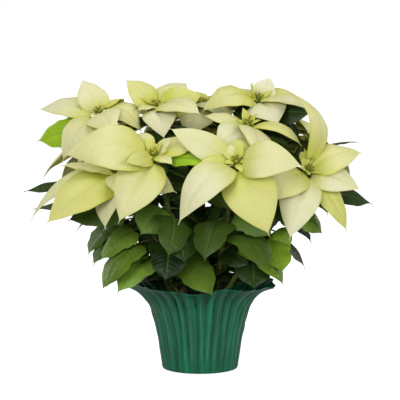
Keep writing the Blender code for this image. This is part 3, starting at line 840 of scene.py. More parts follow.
class Wiring:
    """Adds nodes to a tree. An input is given a value, or a socket to link."""

    def __init__(self, tree):
        self.tree = tree

    def node(self, kind, inputs=None, **settings):
        made = self.tree.nodes.new(kind)
        for name, value in settings.items():
            setattr(made, name, value)
        for name, value in (inputs or {}).items():
            self.plug(made.inputs[name], value)
        return made

    def plug(self, socket, value):
        if isinstance(value, bpy.types.NodeSocket):
            self.tree.links.new(value, socket)
        else:
            socket.default_value = value

    def maths(self, operation, first, second=0.0, clamp=False):
        """One step of arithmetic."""
        inputs = {0: first, 1: second}
        return self.node("ShaderNodeMath", inputs, operation=operation, use_clamp=clamp).outputs[0]

    def plus(self, first, second, clamp=False):
        return self.maths("ADD", first, second, clamp)

    def minus(self, first, second):
        return self.maths("SUBTRACT", first, second)

    def times(self, first, second):
        return self.maths("MULTIPLY", first, second)

    def step(self, value, low, high, start=0.0, end=1.0):
        """A soft step from start to end, while the value goes from low to high."""
        inputs = {"Value": value, "From Min": low, "From Max": high, "To Min": start, "To Max": end}
        return self.node("ShaderNodeMapRange", inputs, interpolation_type="SMOOTHSTEP").outputs[0]

    def mix(self, share, first, second):
        """That share of the second colour over the first."""
        return self.node("ShaderNodeMix", {0: share, 6: first, 7: second}, data_type="RGBA").outputs[2]

    def noise(self, place, scale, detail=3.0, rough=0.55):
        inputs = {"Vector": place, "Scale": scale, "Detail": detail, "Roughness": rough}
        return self.node("ShaderNodeTexNoise", inputs).outputs[0]

    def stretch(self, place, scale):
        return self.node("ShaderNodeMapping", {"Vector": place, "Scale": scale}).outputs[0]

    def attribute(self, name):
        return self.node("ShaderNodeAttribute", attribute_name=name).outputs["Fac"]

    def group(self, tree, inputs):
        return self.node("ShaderNodeGroup", inputs, node_tree=tree).outputs


def new_group(name, inputs, outputs):
    """A node group with named sockets, and the wiring to fill it."""
    tree = bpy.data.node_groups.new(name, "ShaderNodeTree")
    for label, kind in inputs:
        tree.interface.new_socket(label, in_out="INPUT", socket_type=kind)
    for label in outputs:
        tree.interface.new_socket(label, in_out="OUTPUT", socket_type="NodeSocketFloat")
    wiring = Wiring(tree)
    return tree, wiring, wiring.node("NodeGroupInput").outputs, wiring.node("NodeGroupOutput").inputs


def blade_pattern():
    """The rib, side veins and edge of a blade, from its UV map, with the relief that they make."""
    tree, w, given, made = new_group(
        "blade pattern",
        [("UV", "NodeSocketVector"), ("Place", "NodeSocketVector"), ("Veins", "NodeSocketFloat")],
        ["Rib", "Vein", "Net", "Edge", "Along", "Relief"],
    )
    parts = w.node("ShaderNodeSeparateXYZ", {0: given["UV"]}).outputs
    off = w.minus(parts["X"], 0.5)
    across = w.times(w.maths("ABSOLUTE", off), 2.0)
    right = w.maths("GREATER_THAN", off, 0.0)
    along = parts["Y"]
    wander = w.times(w.minus(w.noise(given["Place"], 55.0, 2.0), 0.5), 0.07)
    reach = w.minus(1.06, along)
    slant = w.times(w.times(w.maths("POWER", across, 1.25), reach), 0.34)
    height = w.plus(w.minus(along, slant), wander)
    phase = w.plus(w.times(height, given["Veins"]), w.times(right, 0.35))
    distance = w.maths("PINGPONG", phase, 0.5)
    fade = w.times(w.step(across, 0.45, 1.0, 1.0, 0.15), w.step(along, 0.80, 1.0, 1.0, 0.2))
    vein = w.times(w.step(distance, 0.0, 0.11, 1.0, 0.0), fade)
    rib = w.times(w.step(across, 0.015, 0.075, 1.0, 0.0), w.step(along, 0.75, 1.0, 1.0, 0.3))
    inputs = {"Vector": given["Place"], "Scale": 260.0}
    cells = w.node("ShaderNodeTexVoronoi", inputs, feature="DISTANCE_TO_EDGE")
    net = w.step(cells.outputs["Distance"], 0.0, 0.12, 1.0, 0.0)
    quilt = w.step(distance, 0.0, 0.42, 0.0, 0.5)
    sunk = w.plus(w.times(rib, 0.12), w.times(net, 0.06))
    w.plug(made["Rib"], rib)
    w.plug(made["Vein"], vein)
    w.plug(made["Net"], net)
    w.plug(made["Edge"], w.step(across, 0.86, 1.0))
    w.plug(made["Along"], along)
    w.plug(made["Relief"], w.minus(w.times(quilt, fade), sunk))
    return tree


def mottling():
    """Broad clouds and a fine grain, both from 0 to 1, for uneven colour and gloss."""
    tree, w, given, made = new_group(
        "mottling",
        [("Place", "NodeSocketVector"), ("Scale", "NodeSocketFloat")],
        ["Broad", "Fine"],
    )
    w.plug(made["Broad"], w.step(w.noise(given["Place"], given["Scale"], 4.0), 0.32, 0.68))
    fine = w.noise(given["Place"], w.times(given["Scale"], 14.0), 3.0, 0.65)
    w.plug(made["Fine"], w.step(fine, 0.3, 0.7))
    return tree


def new_material(name, **shader_values):
    """A material, its wiring and its shader's inputs, with the values that are the same all over it."""
    material = bpy.data.materials.new(name)
    material.use_nodes = True
    shader = material.node_tree.nodes["Principled BSDF"]
    for label, value in shader_values.items():
        shader.inputs[label.replace("_", " ")].default_value = value
    return material, Wiring(material.node_tree), shader.inputs


def clouded_material(name, scale, **shader_values):
    """A new material with its wiring, its shader's inputs, its coordinates, and clouds of that scale."""
    material, w, shader = new_material(name, **shader_values)
    coords = w.node("ShaderNodeTexCoord").outputs
    cloud = w.group(MOTTLING, {"Place": coords["Object"], "Scale": scale})
    return material, w, shader, coords, cloud


def bumped(w, shader, height, depth):
    """Relief of that depth, in mm."""
    bump = w.node("ShaderNodeBump", {"Height": height, "Distance": depth * MM, "Strength": 1.0})
    w.plug(shader["Normal"], bump.outputs[0])


def uneven_gloss(w, shader, cloud, middle, spread):
    """Roughness that strays both ways with the fine grain of the clouds."""
    low, high = spread
    w.plug(shader["Roughness"], w.step(cloud["Fine"], 0.0, 1.0, middle - low, middle + high))


def blade_material(name, colours, veins, relief, roughness, greening_and_shade, **shader_values):
    """One face of a blade: how many veins, their relief in mm, and how yellow-green it is at its base and
    edge, which is partly its own tint and partly painted shade.
    """
    material, w, shader, coords, cloud = clouded_material(name, 34.0, **shader_values)
    pattern = w.group(PATTERN, {"UV": coords["UV"], "Place": coords["Object"], "Veins": veins})
    base_green_and_shade, edge_green_and_shade = greening_and_shade
    # Yellow-green towards the base and the edge: partly the blade's own tint, partly painted shade.
    base_tint_and_shade = w.times(w.step(pattern["Along"], 0.0, 0.5, 1.0, 0.0), base_green_and_shade)
    edge_tint_and_shade = w.times(pattern["Edge"], edge_green_and_shade)
    green = w.plus(w.plus(w.attribute("green"), base_tint_and_shade), edge_tint_and_shade, clamp=True)
    skin = w.mix(w.attribute("pale"), colours.ground, colours.pale)
    skin = w.mix(green, skin, colours.green)
    skin = w.mix(w.times(cloud["Broad"], 0.28), skin, colours.shade)
    side_veins = w.times(pattern["Vein"], colours.vein_share)
    net = w.times(pattern["Net"], colours.vein_share * 0.22)
    skin = w.mix(w.plus(side_veins, net, clamp=True), skin, colours.vein)
    skin = w.mix(w.times(pattern["Rib"], colours.rib_share), skin, colours.rib)
    w.plug(shader["Base Color"], skin)
    uneven_gloss(w, shader, cloud, roughness, (0.06, 0.08))
    bumped(w, shader, w.plus(pattern["Relief"], w.times(cloud["Fine"], 0.10)), relief)
    return material


def plain_material(name, low, high, scale, roughness, depth, **shader_values):
    """A finish mottled between two colours, in clouds of that scale and with a grain of that depth, mm."""
    material, w, shader, coords, cloud = clouded_material(name, scale, **shader_values)
    w.plug(shader["Base Color"], w.mix(cloud["Broad"], low, high))
    uneven_gloss(w, shader, cloud, roughness, (0.07, 0.07))
    bumped(w, shader, cloud["Fine"], depth)
    return material


def stem_material(name, low, high, lines, depth, roughness):
    """A stem's skin: two colours in clouds, with fine lines that run along it."""
    material, w, shader, coords, cloud = clouded_material(name, 60.0)
    streak = w.noise(w.stretch(coords["UV"], (lines, lines * 0.7, 1.0)), 1.0, 4.0, 0.7)
    skin = w.mix(cloud["Broad"], low, high)
    skin = w.mix(w.step(streak, 0.45, 0.7, 0.0, 0.5), skin, low)
    w.plug(shader["Base Color"], skin)
    uneven_gloss(w, shader, cloud, roughness, (0.1, 0.1))
    bumped(w, shader, w.plus(streak, w.times(cloud["Fine"], 0.3)), depth)
    return material


def cover_material():
    """Half glossy green film with soft streaks and fine crinkles, with painted shade in the valleys of its
    pleats and a painted highlight along their crests.
    """
    gloss = {"Coat_Weight": 0.45, "Coat_Roughness": 0.18}
    material, w, shader, coords, cloud = clouded_material("cover plastic", 24.0, **gloss)
    streak = w.noise(w.stretch(coords["UV"], (44.0, 1.3, 1.0)), 1.0, 3.0, 0.5)
    crinkle = w.noise(w.stretch(coords["UV"], (360.0, 9.0, 1.0)), 1.0, 3.0, 0.6)
    skin = w.mix(w.step(streak, 0.25, 0.75), paint(6, 84, 56), paint(22, 140, 98))
    skin = w.mix(w.times(cloud["Broad"], 0.4), skin, paint(8, 92, 64))
    # Painted shade: the valleys of the pleats are darkened towards a deep green, as if they fell in shade.
    skin = w.mix(w.step(w.attribute("fold"), 0.0, 0.6, 0.7, 0.0), skin, paint(0, 48, 32))
    # Painted highlight: a pale green streak along the crest of each pleat, standing in for glints of light.
    skin = w.mix(w.step(w.attribute("fold"), 0.88, 1.0, 0.0, 0.14), skin, paint(112, 176, 146))
    w.plug(shader["Base Color"], skin)
    w.plug(shader["Roughness"], w.step(crinkle, 0.3, 0.7, 0.28, 0.46))
    bumped(w, shader, w.plus(streak, w.times(crinkle, 0.4)), 0.35)
    return material


def soil_material():
    """Dark peat, mottled from nearly black to brown, with paler fibres."""
    material, w, shader, coords, cloud = clouded_material("peat", 90.0)
    fibre = w.step(w.noise(w.stretch(coords["Object"], (900.0, 160.0, 500.0)), 1.0, 2.0), 0.6, 0.7)
    skin = w.mix(cloud["Broad"], paint(34, 24, 18), paint(72, 52, 37))
    w.plug(shader["Base Color"], w.mix(w.times(fibre, 0.5), skin, paint(122, 92, 62)))
    w.plug(shader["Roughness"], w.step(cloud["Fine"], 0.0, 1.0, 0.85, 1.0))
    bumped(w, shader, cloud["Fine"], 1.0)
    return material


PATTERN = blade_pattern()
MOTTLING = mottling()
Colours = namedtuple("Colours", "ground pale green shade vein rib vein_share rib_share")

BRACT_COLOURS = Colours(
    ground=paint(231, 226, 156), pale=paint(236, 233, 198), green=paint(202, 206, 72),
    shade=paint(220, 216, 122), vein=paint(208, 210, 120), rib=paint(226, 224, 152),
    vein_share=0.16, rib_share=0.2,
)
BRACT_UNDER_COLOURS = Colours(
    ground=paint(214, 214, 142), pale=paint(222, 221, 170), green=paint(178, 190, 74),
    shade=paint(200, 204, 118), vein=paint(226, 226, 160), rib=paint(206, 212, 120),
    vein_share=0.45, rib_share=0.5,
)
# The leaves' yellow-green end is partly their own colour and partly painted light, made bright for a leaf
# glowing with light shining through it.
LEAF_COLOURS = Colours(
    ground=paint(22, 45, 12), pale=paint(112, 148, 62), green=paint(166, 206, 38),
    shade=paint(17, 38, 14), vein=paint(74, 102, 50), rib=paint(104, 130, 62),
    vein_share=0.16, rib_share=0.4,
)
LEAF_UNDER_COLOURS = Colours(
    ground=paint(84, 112, 66), pale=paint(112, 138, 82), green=paint(150, 176, 74),
    shade=paint(72, 100, 60), vein=paint(132, 156, 100), rib=paint(158, 176, 112),
    vein_share=0.6, rib_share=0.8,
)
SOFT = {"Subsurface_Weight": 0.2, "Subsurface_Scale": 0.004, "Subsurface_Radius": (1.0, 0.8, 0.35)}
BRACT_TOP = blade_material("bract top", BRACT_COLOURS, 9.0, 0.45, 0.52, (0.7, 0.4), **SOFT)
BRACT_UNDER = blade_material("bract underside", BRACT_UNDER_COLOURS, 9.0, -0.5, 0.6, (0.6, 0.4), **SOFT)
BRACT_RIB = plain_material("bract rib", paint(196, 202, 92), paint(216, 218, 130), 120.0, 0.5, 0.1)
LEAF_TOP = blade_material("leaf top", LEAF_COLOURS, 9.0, 0.45, 0.42, (0.05, 0.05), Specular_IOR_Level=0.24)
LEAF_UNDER = blade_material("leaf underside", LEAF_UNDER_COLOURS, 10.0, -0.8, 0.6, (0.05, 0.05))
LEAF_RIB = plain_material("leaf stalk", paint(92, 100, 44), paint(136, 146, 72), 90.0, 0.5, 0.15)
STEM = stem_material("green stem", paint(70, 92, 38), paint(122, 140, 66), 14.0, 0.3, 0.55)
BARK = stem_material("bark", paint(70, 60, 40), paint(122, 112, 76), 22.0, 0.9, 0.8)
CUP = plain_material("flower cup", paint(96, 124, 34), paint(150, 166, 58), 500.0, 0.45, 0.15)
GLAND = plain_material("nectar gland", paint(206, 190, 40), paint(232, 214, 78), 600.0, 0.3, 0.05)
STAMEN = plain_material("stamen", paint(120, 84, 34), paint(176, 150, 56), 700.0, 0.5, 0.05)
COVER = cover_material()
POT_PLASTIC = plain_material("pot plastic", paint(26, 34, 28), paint(40, 50, 42), 60.0, 0.5, 0.12)
PEAT = soil_material()
PERLITE = plain_material("perlite", paint(214, 210, 200), paint(240, 238, 232), 400.0, 0.85, 0.5)


# Blades

def blade_sheet(name, columns, rows):
    """A sheet whose UV map follows the easing of a blade's length."""
    sheet = flat_sheet(name, columns, rows)
    for corner in sheet.data.uv_layers[0].data:
        corner.uv.y = eased(corner.uv.y)
    return sheet


def rib_tube(blade, habit, thick):
    """The stalk, running on as a rib under the blade."""
    end = blade.stalk + (1 - blade.stalk) * RIB_END
    split = blade.stalk / end

    def radius(k):
        if k < split:
            return thick * (1.0 - 0.25 * k / split)
        return thick * 0.75 * (1 - (k - split) / (1 - split)) + RIB_TIP_RADIUS

    def path(k):
        at, side, normal = blade_line(blade, k * end)
        sunk = min(1.0, max(0.0, (k - split * 0.8) / (split * 0.4)))
        s = max(0.0, (k * end - blade.stalk) / (1 - blade.stalk))
        depth = radius(k) * 0.85 + groove_depth(blade, s) + tip_curl(habit, s)
        return at - normal * (depth * sunk)

    return laid(copy_of(RIB_SHEET, "rib"), tube_place(path, radius, RIB_ROWS))


def blades_piece(name, found, make):
    """Blades with their ribs, as one object."""
    sheets = []
    for blade, habit in found:
        sheet = laid(copy_of(make.sheet, name), blade_place(blade, habit))
        for tone in ("pale", "green"):
            marked(sheet, tone, [getattr(habit, tone)] * len(sheet.data.vertices))
        sheets.append(painted(sheet, make.top, make.under))
    piece = welded(joined(name, sheets))
    walled(piece, BLADE_THICKNESS, 0.0, 1)
    ribs = [painted(rib_tube(blade, habit, make.thick), make.rib) for blade, habit in found]
    ribs = welded(joined(f"{name}_ribs", ribs))
    return rounded(joined(name, [piece, ribs]), 60)


BLADE_SHEET = blade_sheet("blade_sheet", BLADE_COLUMNS, BLADE_ROWS)
SMALL_SHEET = blade_sheet("small_blade_sheet", SMALL_COLUMNS, SMALL_ROWS)
RIB_SHEET = flat_sheet("rib_sheet", RIB_COLUMNS, RIB_ROWS)
STEM_SHEET = flat_sheet("stem_sheet", STEM_COLUMNS, STEM_ROWS)

# How each kind of blade is made: its sheet, the materials of its faces and rib, and its stalk's radius, mm.
Make = namedtuple("Make", "sheet top under rib thick")
LEAF_MAKE = Make(BLADE_SHEET, LEAF_TOP, LEAF_UNDER, LEAF_RIB, 1.45)
FILLING_MAKE = LEAF_MAKE._replace(sheet=SMALL_SHEET, thick=1.3)
BRACT_MAKE = Make(BLADE_SHEET, BRACT_TOP, BRACT_UNDER, BRACT_RIB, 1.2)
INNER_MAKE = BRACT_MAKE._replace(sheet=SMALL_SHEET, thick=0.7)


# Stems

def branch_stem(bloom, roots):
    """A green branch, swollen where it leaves the trunk and where each leaf grows."""
    at, out = branch_line(bloom)[:2]

    def path(k):
        return at(k) - out * (BRANCH_ROOT_DEPTH * max(0.0, 1 - k * 25))

    def radius(k):
        plain = BRANCH_FOOT_RADIUS + (BRANCH_TIP_RADIUS - BRANCH_FOOT_RADIUS) * k
        collar = 0.45 * math.exp(-k * 30)
        nodes = sum(0.28 * math.exp(-(((k - root) / 0.018) ** 2)) for root in roots)
        return plain * (1 + collar + min(nodes, 0.35))

    return rounded(shell(copy_of(STEM_SHEET, "stem"), tube_place(path, radius, STEM_ROWS, 0.2), STEM))


def leafy_stem(name, bloom, found, filling):
    """A branch with its leaves."""
    at = branch_line(bloom)[0]
    shares = [i / 60 for i in range(61)]
    roots = [min(shares, key=lambda k: (at(k) - blade.root).length) for blade, habit in found + filling]
    stem = branch_stem(bloom, roots)
    leaves = blades_piece("leaves", found, LEAF_MAKE)
    more_leaves = blades_piece("filling", filling, FILLING_MAKE)
    piece = joined(f"leafy_stem_{name}", [leaves, more_leaves, stem])
    return finished(piece, "green_leaf", f"branch_{name}")


def woody_stem(plant):
    """A pinched plant's short trunk, with ringed bark, narrowed at its cut top."""
    base = trunk_of(plant)
    low = SOIL_TOP + SOIL_CROWN - TRUNK_DEPTH + SEAT
    high = SOIL_TOP + SOIL_CROWN + TRUNK_RISE
    lean = Vector(noise(Vector((base.x, base.y, i * 9.1))) for i in range(3))

    def path(k):
        return base + UP * (low + (high - low) * k) + lean * (0.8 * math.sin(math.pi * k))

    def radius(k):
        ring = 0.05 * math.exp(-((math.remainder(k * 6.5, 1.0) / 0.12) ** 2))
        return TRUNK_RADIUS * (0.98 + ring - 0.25 * max(0.0, (k - 0.96) / 0.04))

    tube = laid(copy_of(STEM_SHEET, "trunk"), tube_place(path, radius, STEM_ROWS, 0.12))
    for vert in tube.data.vertices:
        away = vert.co / MM - base
        away.z = 0
        rough = noise(Vector((vert.co.x * 400, vert.co.y * 400, vert.co.z * 120 + base.x)))
        vert.co += away * (0.05 * rough * MM)
    piece = rounded(welded(painted(tube, BARK)))
    piece.name = f"woody_stem_{plant}"
    return finished(piece, "bark", f"trunk_{plant}")


# Blooms

def bract_hub(bloom):
    """The green knob under a bloom, where its bracts grow."""
    facing = Vector(bloom.facing).normalized()
    height = HUB_HEIGHT + HUB_OVERLAP
    foot = Vector(bloom.centre) - facing * height

    def radius(k):
        swell = (HUB_RADIUS - HUB_FOOT_RADIUS) * min(1.0, k / 0.55) ** 0.6
        return HUB_FOOT_RADIUS + swell - 0.6 * max(0.0, (k - 0.8) / 0.2)

    def path(k):
        return foot + facing * (height * k)

    return rounded(shell(copy_of(RIB_SHEET, "hub"), tube_place(path, radius, RIB_ROWS, 0.1), STEM))


def bract_whorl(name, bloom, found):
    """The bracts of a bloom on their hub."""
    bracts = blades_piece("bracts", found, BRACT_MAKE)
    return finished(joined(f"bract_whorl_{name}", [bracts, bract_hub(bloom)]), "bract", f"bracts_{name}")


def inner_bracts(name, bloom):
    """The youngest bracts, small and yellow-green, that stand round the flower cups."""
    draw = random.Random(f"{SEED} inner {name}")
    facing = Vector(bloom.facing).normalized()
    side, rise = frame_at(facing)
    start = draw.uniform(0, 2 * math.pi)
    found = []
    for order in range(INNER_BRACTS):
        turn = start + order * GOLDEN_TURN + draw.uniform(-0.2, 0.2)
        out = swung(side, rise, turn)
        slope = draw.uniform(0.45, 0.95)
        reach = draw.uniform(15, 24) + 9.0 * (INNER_BRACTS - 1 - order) / INNER_BRACTS
        root = Vector(bloom.centre) - facing * 1.5 + out * 3.2
        tip = root + swung(out, facing, slope) * reach - UP * (reach * 0.12)
        width = reach * draw.uniform(0.36, 0.46)
        blade = Blade(root, tip, width, reach * 0.09, facing, INNER_STALK, 0.0, facing)
        habit = habit_of(f"inner {name} {order}", (0.0, draw.uniform(0.55, 1.0)), False)
        found.append((blade, habit._replace(wave=0.3, curl=1.0, notch=0.02)))
    return finished(blades_piece(f"inner_bracts_{name}", found, INNER_MAKE), "bract")


def cup_barrel():
    """The green barrel of a flower cup, standing on the origin, with its mouth pressed in."""
    barrel = added(bpy.ops.mesh.primitive_uv_sphere_add, segments=12, ring_count=9, radius=1.0)
    bpy.ops.object.mode_set(mode="EDIT")
    bpy.ops.mesh.select_all(action="DESELECT")
    bpy.ops.object.mode_set(mode="OBJECT")
    for face in barrel.data.polygons:
        face.select = face.center.z > 0.82
    bpy.ops.object.mode_set(mode="EDIT")
    bpy.ops.mesh.extrude_region_move(TRANSFORM_OT_translate={"value": (0, 0, 0.0)})
    bpy.ops.transform.resize(value=(0.72, 0.72, 1.0), center_override=(0, 0, 0.8))
    bpy.ops.mesh.extrude_region_move(TRANSFORM_OT_translate={"value": (0, 0, -0.45)})
    bpy.ops.object.mode_set(mode="OBJECT")
    for vert in barrel.data.vertices:
        x, y, z = vert.co
        narrow = 0.72 if z < -0.5 else 1.0
        vert.co = Vector((x * CUP_RADIUS * narrow, y * CUP_RADIUS * narrow, (z + 1) * CUP_HALF_HEIGHT)) * MM
    return painted(barrel, CUP)


def cup_gland():
    """The yellow gland on a cup's side: a flat dish, tipped forwards."""
    gland = added(bpy.ops.mesh.primitive_uv_sphere_add, segments=10, ring_count=6, radius=1.0)
    for vert in gland.data.vertices:
        x, y, z = vert.co
        dent = 0.45 * max(0.0, 1 - vert.co.xy.length * 1.3) if z > 0 else 0.0
        dish = Vector((x * 1.9, y * 1.1, (z - dent) * 0.9))
        vert.co = (Matrix.Rotation(-0.9, 3, "X") @ dish + Vector((0, -2.5, 4.8))) * MM
    return painted(gland, GLAND)


def cup_stamen(turn, tall):
    """A stamen that leans out of a cup's mouth at that turn, thicker at its top."""
    stalk = added(bpy.ops.mesh.primitive_cone_add, vertices=5, radius1=0.26, radius2=0.16, depth=1.0)
    for vert in stalk.data.vertices:
        x, y, z = vert.co
        knob = 2.0 if z > 0 else 1.0
        reach = (z + 0.5) * tall
        lean = around(turn) * (0.7 + 0.25 * reach)
        vert.co = (Vector((x * knob, y * knob, 5.4 + reach)) + lean) * MM
    return painted(stalk, STAMEN)


def cup_master():
    """One flower cup, upright, from its foot at the origin."""
    parts = [cup_barrel(), cup_gland()]
    for i, turn in enumerate(turns(STAMENS, 0.4)):
        parts.append(cup_stamen(turn, 2.4 + 0.5 * math.sin(2.7 * i)))
    return rounded(joined("cup_master", parts), 45)


def flower_cluster(name, bloom):
    """The flower cups on their base: one in the middle and a ring leaning out."""
    draw = random.Random(f"{SEED} cups {name}")
    facing = Vector(bloom.facing).normalized()
    side, rise = frame_at(facing)
    foot = Vector(bloom.centre) + facing * SEAT
    parts = []
    for i in range(CUP_COUNT):
        turn = turns(CUP_COUNT - 1)[i - 1]
        lean = swung(side, rise, turn) * (CUP_SPREAD if i else 0)
        axis = (facing * CUP_LENGTH + lean).normalized()
        low = foot + facing * 0.6 + lean * 0.3
        across = axis.cross(UP).normalized()
        stand = Matrix((across, axis.cross(across), axis)).transposed()
        stand = stand @ Matrix.Rotation(draw.uniform(0, 2 * math.pi), 3, "Z") * draw.uniform(0.9, 1.08)
        cup = copy_of(CUP_MASTER, "cup")
        cup.data.transform(Matrix.Translation(low * MM) @ stand.to_4x4())
        parts.append(cup)

    def path(k):
        return foot + facing * (CUP_BASE_HEIGHT * k)

    def radius(k):
        return 4.4 - 1.2 * k * k

    seat = shell(copy_of(RIB_SHEET, "seat"), tube_place(path, radius, RIB_ROWS, 0.2), CUP)
    parts.append(rounded(seat))
    return finished(joined(f"flower_cluster_{name}", parts), "flower_cup", f"flowers_{name}")


CUP_MASTER = cup_master()


# Pot

def eased_between(before, low, high, after, t):
    """The value at share t of a smooth way from low to high, with its neighbours before and after."""
    return 0.5 * (
        2 * low
        + (high - before) * t
        + (2 * before - 5 * low + 4 * high - after) * t**2
        + (3 * low - before - 3 * high + after) * t**3
    )


def smooth_profile(rows, steps):
    """Rows of values on a smooth curve through the given rows."""
    smooth = []
    for i in range(len(rows) - 1):
        around = rows[max(i - 1, 0)], rows[i], rows[i + 1], rows[min(i + 2, len(rows) - 1)]
        for j in range(steps):
            smooth.append(tuple(eased_between(*values, j / steps) for values in zip(*around)))
    return smooth + [rows[-1]]


def risen(height, span):
    """How far a height has come up a span, from 0 at its foot to 1 at its top, and on past it."""
    low, high = span
    return max(0.0, (height - low) / (high - low))


def pleat_fold(turn, height):
    """How far the film stands out in its pleats, from -1 in a valley to 1 on a crest."""
    spot = Vector((math.cos(turn) * 5.3, math.sin(turn) * 5.3, height * 0.012))
    ridge = abs(math.sin((COVER_PLEATS * turn + 2.6 * noise(spot)) / 2))
    return 2 * ridge ** (0.8 + 1.2 * min(1.0, risen(height, PLEATS_ROUND))) - 1


def lip_curl(turn):
    """How far the lip curls out and down at a turn, mm."""
    curl = 0.0
    for place, reach in COVER_CURLS:
        off = math.remainder(turn - place, 2 * math.pi) / CURL_SPREAD
        curl += reach * math.exp(-(off**2))
    return curl


def pleated_cover():
    """The pot cover: a thin wall in uneven pleats that flares into a wavy lip, with a flat base."""
    rows = [(radius, height, 0.0) for radius, height in COVER_FOOT]
    rows += smooth_profile(COVER_PROFILE[1:], COVER_STEPS)

    def ruffle(turn, row, radius, height):
        pleat = rows[row][2]
        spot = around(turn, height * 0.01)
        fold = pleat_fold(turn, height) * (0.75 + 0.7 * noise(spot * 7.1))
        crease = 0.45 * noise(Vector((spot.x * 24, spot.y * 24, height * 0.04))) * min(1.0, pleat)
        wave = COVER_LIP_WAVE * risen(height, LIP_WAVY)
        lift = wave * (math.sin(5 * turn + 1.0) + 0.5 * math.sin(9 * turn))
        rolled = risen(height, LIP_ROLLED) ** 2
        fold *= 1 - 0.6 * risen(height, PLEATS_SHALLOW)
        frill = 0.5 * rolled * fold
        curl = lip_curl(turn) * rolled
        return radius + pleat * fold + crease + 0.5 * curl, height + lift + frill - 0.8 * curl

    sheet = flat_sheet("pleated_cover", COVER_COLUMNS, len(rows) - 1)
    folds = []
    for vert in sheet.data.vertices:
        radius, height, pleat = rows[round((vert.co.y + 1) / 2 * (len(rows) - 1))]
        folds.append(0.5 + 0.5 * pleat_fold(math.pi * vert.co.x, height) * min(1.0, pleat))
    marked(sheet, "fold", folds)
    piece = shell(sheet, turned_place([row[:2] for row in rows], ruffle), COVER)
    walled(piece, COVER_WALL * 0.8, -1.0)
    return finished(rounded(piece, 70), "cover_plastic", "pot_cover")


def growers_pot():
    """A thin, nearly black pot with a stepped collar and a rolled rim, hollow down to its base."""
    mouth = POT_TOP_RADIUS - POT_WALL
    collar = POT_TOP - POT_COLLAR_DEPTH
    profile = [
        (0.0, POT_FOOT + 1.0),
        (POT_FOOT_RADIUS - 8, POT_FOOT + 1.0),
        (POT_FOOT_RADIUS - 6, POT_FOOT),
        (POT_FOOT_RADIUS - 1, POT_FOOT),
        (POT_FOOT_RADIUS, POT_FOOT + 1.5),
        (POT_TOP_RADIUS - 1.2, collar - 3),
        (POT_TOP_RADIUS - 0.5, collar - 0.6),
        (POT_COLLAR_RADIUS - 0.6, collar),
        (POT_COLLAR_RADIUS, collar + 0.8),
        (POT_COLLAR_RADIUS, POT_TOP - 1.0),
        (POT_COLLAR_RADIUS - 0.4, POT_TOP - 0.3),
        (POT_COLLAR_RADIUS - 1.0, POT_TOP),
        (mouth + 0.6, POT_TOP),
        (mouth, POT_TOP - 0.8),
        (POT_FOOT_RADIUS - POT_WALL, POT_FOOT + POT_WALL + 1.0),
        (0.0, POT_FOOT + POT_WALL + 1.0),
    ]
    sheet = flat_sheet("growers_pot", POT_COLUMNS, len(profile) - 1)
    piece = shell(sheet, turned_place(profile), POT_PLASTIC)
    return finished(rounded(piece, 40), "nursery_plastic", "nursery_pot")


def crumb_master(detail, squash, material):
    """A rough flattened lump, about a millimetre from its middle to its side."""
    lump = added(bpy.ops.mesh.primitive_ico_sphere_add, subdivisions=detail, radius=1.0)
    for vert in lump.data.vertices:
        vert.co *= (1 + 0.45 * noise(vert.co * 1.7)) * MM
        vert.co.z *= squash
    return painted(lump, material)


def scattered(label, master, count, sizes):
    """Copies of a lump over the soil, partly sunk in it."""
    draw = random.Random(f"{SEED} {label}")
    parts = []
    rim = POT_TOP_RADIUS - 5
    for i in range(count):
        reach, turn = rim * math.sqrt(draw.random()), draw.uniform(0, 2 * math.pi)
        size = draw.uniform(*sizes)
        height = SOIL_TOP + SOIL_CROWN * (1 - (reach / rim) ** 2)
        spot = Vector((reach * math.cos(turn), reach * math.sin(turn), height + size * 0.15))
        spin = Matrix.Rotation(draw.uniform(0, 6.28), 4, Vector((draw.random(), draw.random(), 1)))
        lump = copy_of(master, "lump")
        lump.data.transform(Matrix.Translation(spot * MM) @ spin @ Matrix.Scale(size, 4))
        parts.append(lump)
    bpy.data.objects.remove(master)
    return parts


def potting_mix():
    """The root ball: it fills the pot, up to a low lumpy mound of peat with crumbs on it."""
    foot = POT_FOOT + POT_WALL + SEAT + 1.0
    share = (SOIL_TOP - foot) / (POT_TOP - foot)
    low = POT_FOOT_RADIUS - POT_WALL - SEAT
    top = low + (POT_TOP_RADIUS - POT_FOOT_RADIUS) * share
    side = [(0.0, foot), (low * 0.6, foot), (low, foot), ((low + top) / 2, (foot + SOIL_TOP) / 2)]
    profile = side + [(top * k, SOIL_TOP + SOIL_CROWN * (1 - k * k)) for k in MOUND_SHARES]

    def lumps(turn, row, radius, height):
        if row < len(side) or row == len(profile) - 1:
            return radius, height
        spot = Vector((radius * math.cos(turn), radius * math.sin(turn), 0)) * 0.16
        return radius, height + 0.9 * noise(spot) + 0.5 * noise(spot * 3)

    sheet = flat_sheet("potting_mix", POT_COLUMNS, len(profile) - 1)
    ball = shell(sheet, turned_place(profile, lumps), PEAT)
    crumbs = scattered("crumbs", crumb_master(1, 0.7, PEAT), CRUMBS, CRUMB_SIZES)
    return finished(rounded(joined("potting_mix", [ball] + crumbs), 80), "potting_mix", "soil")


def perlite():
    """White bits in the mix."""
    bits = scattered("perlite", crumb_master(2, 0.8, PERLITE), PERLITE_BITS, PERLITE_SIZES)
    return finished(rounded(joined("perlite_bits", bits), 80), "potting_mix")


# Studio

CAMERA_DISTANCE = 2.6
CAMERA_RISE = math.radians(5)
CAMERA_TARGET = Vector((0, 0, 0.254))
CAMERA_LENS = 156
CAMERA_FILM_WIDTH = 36

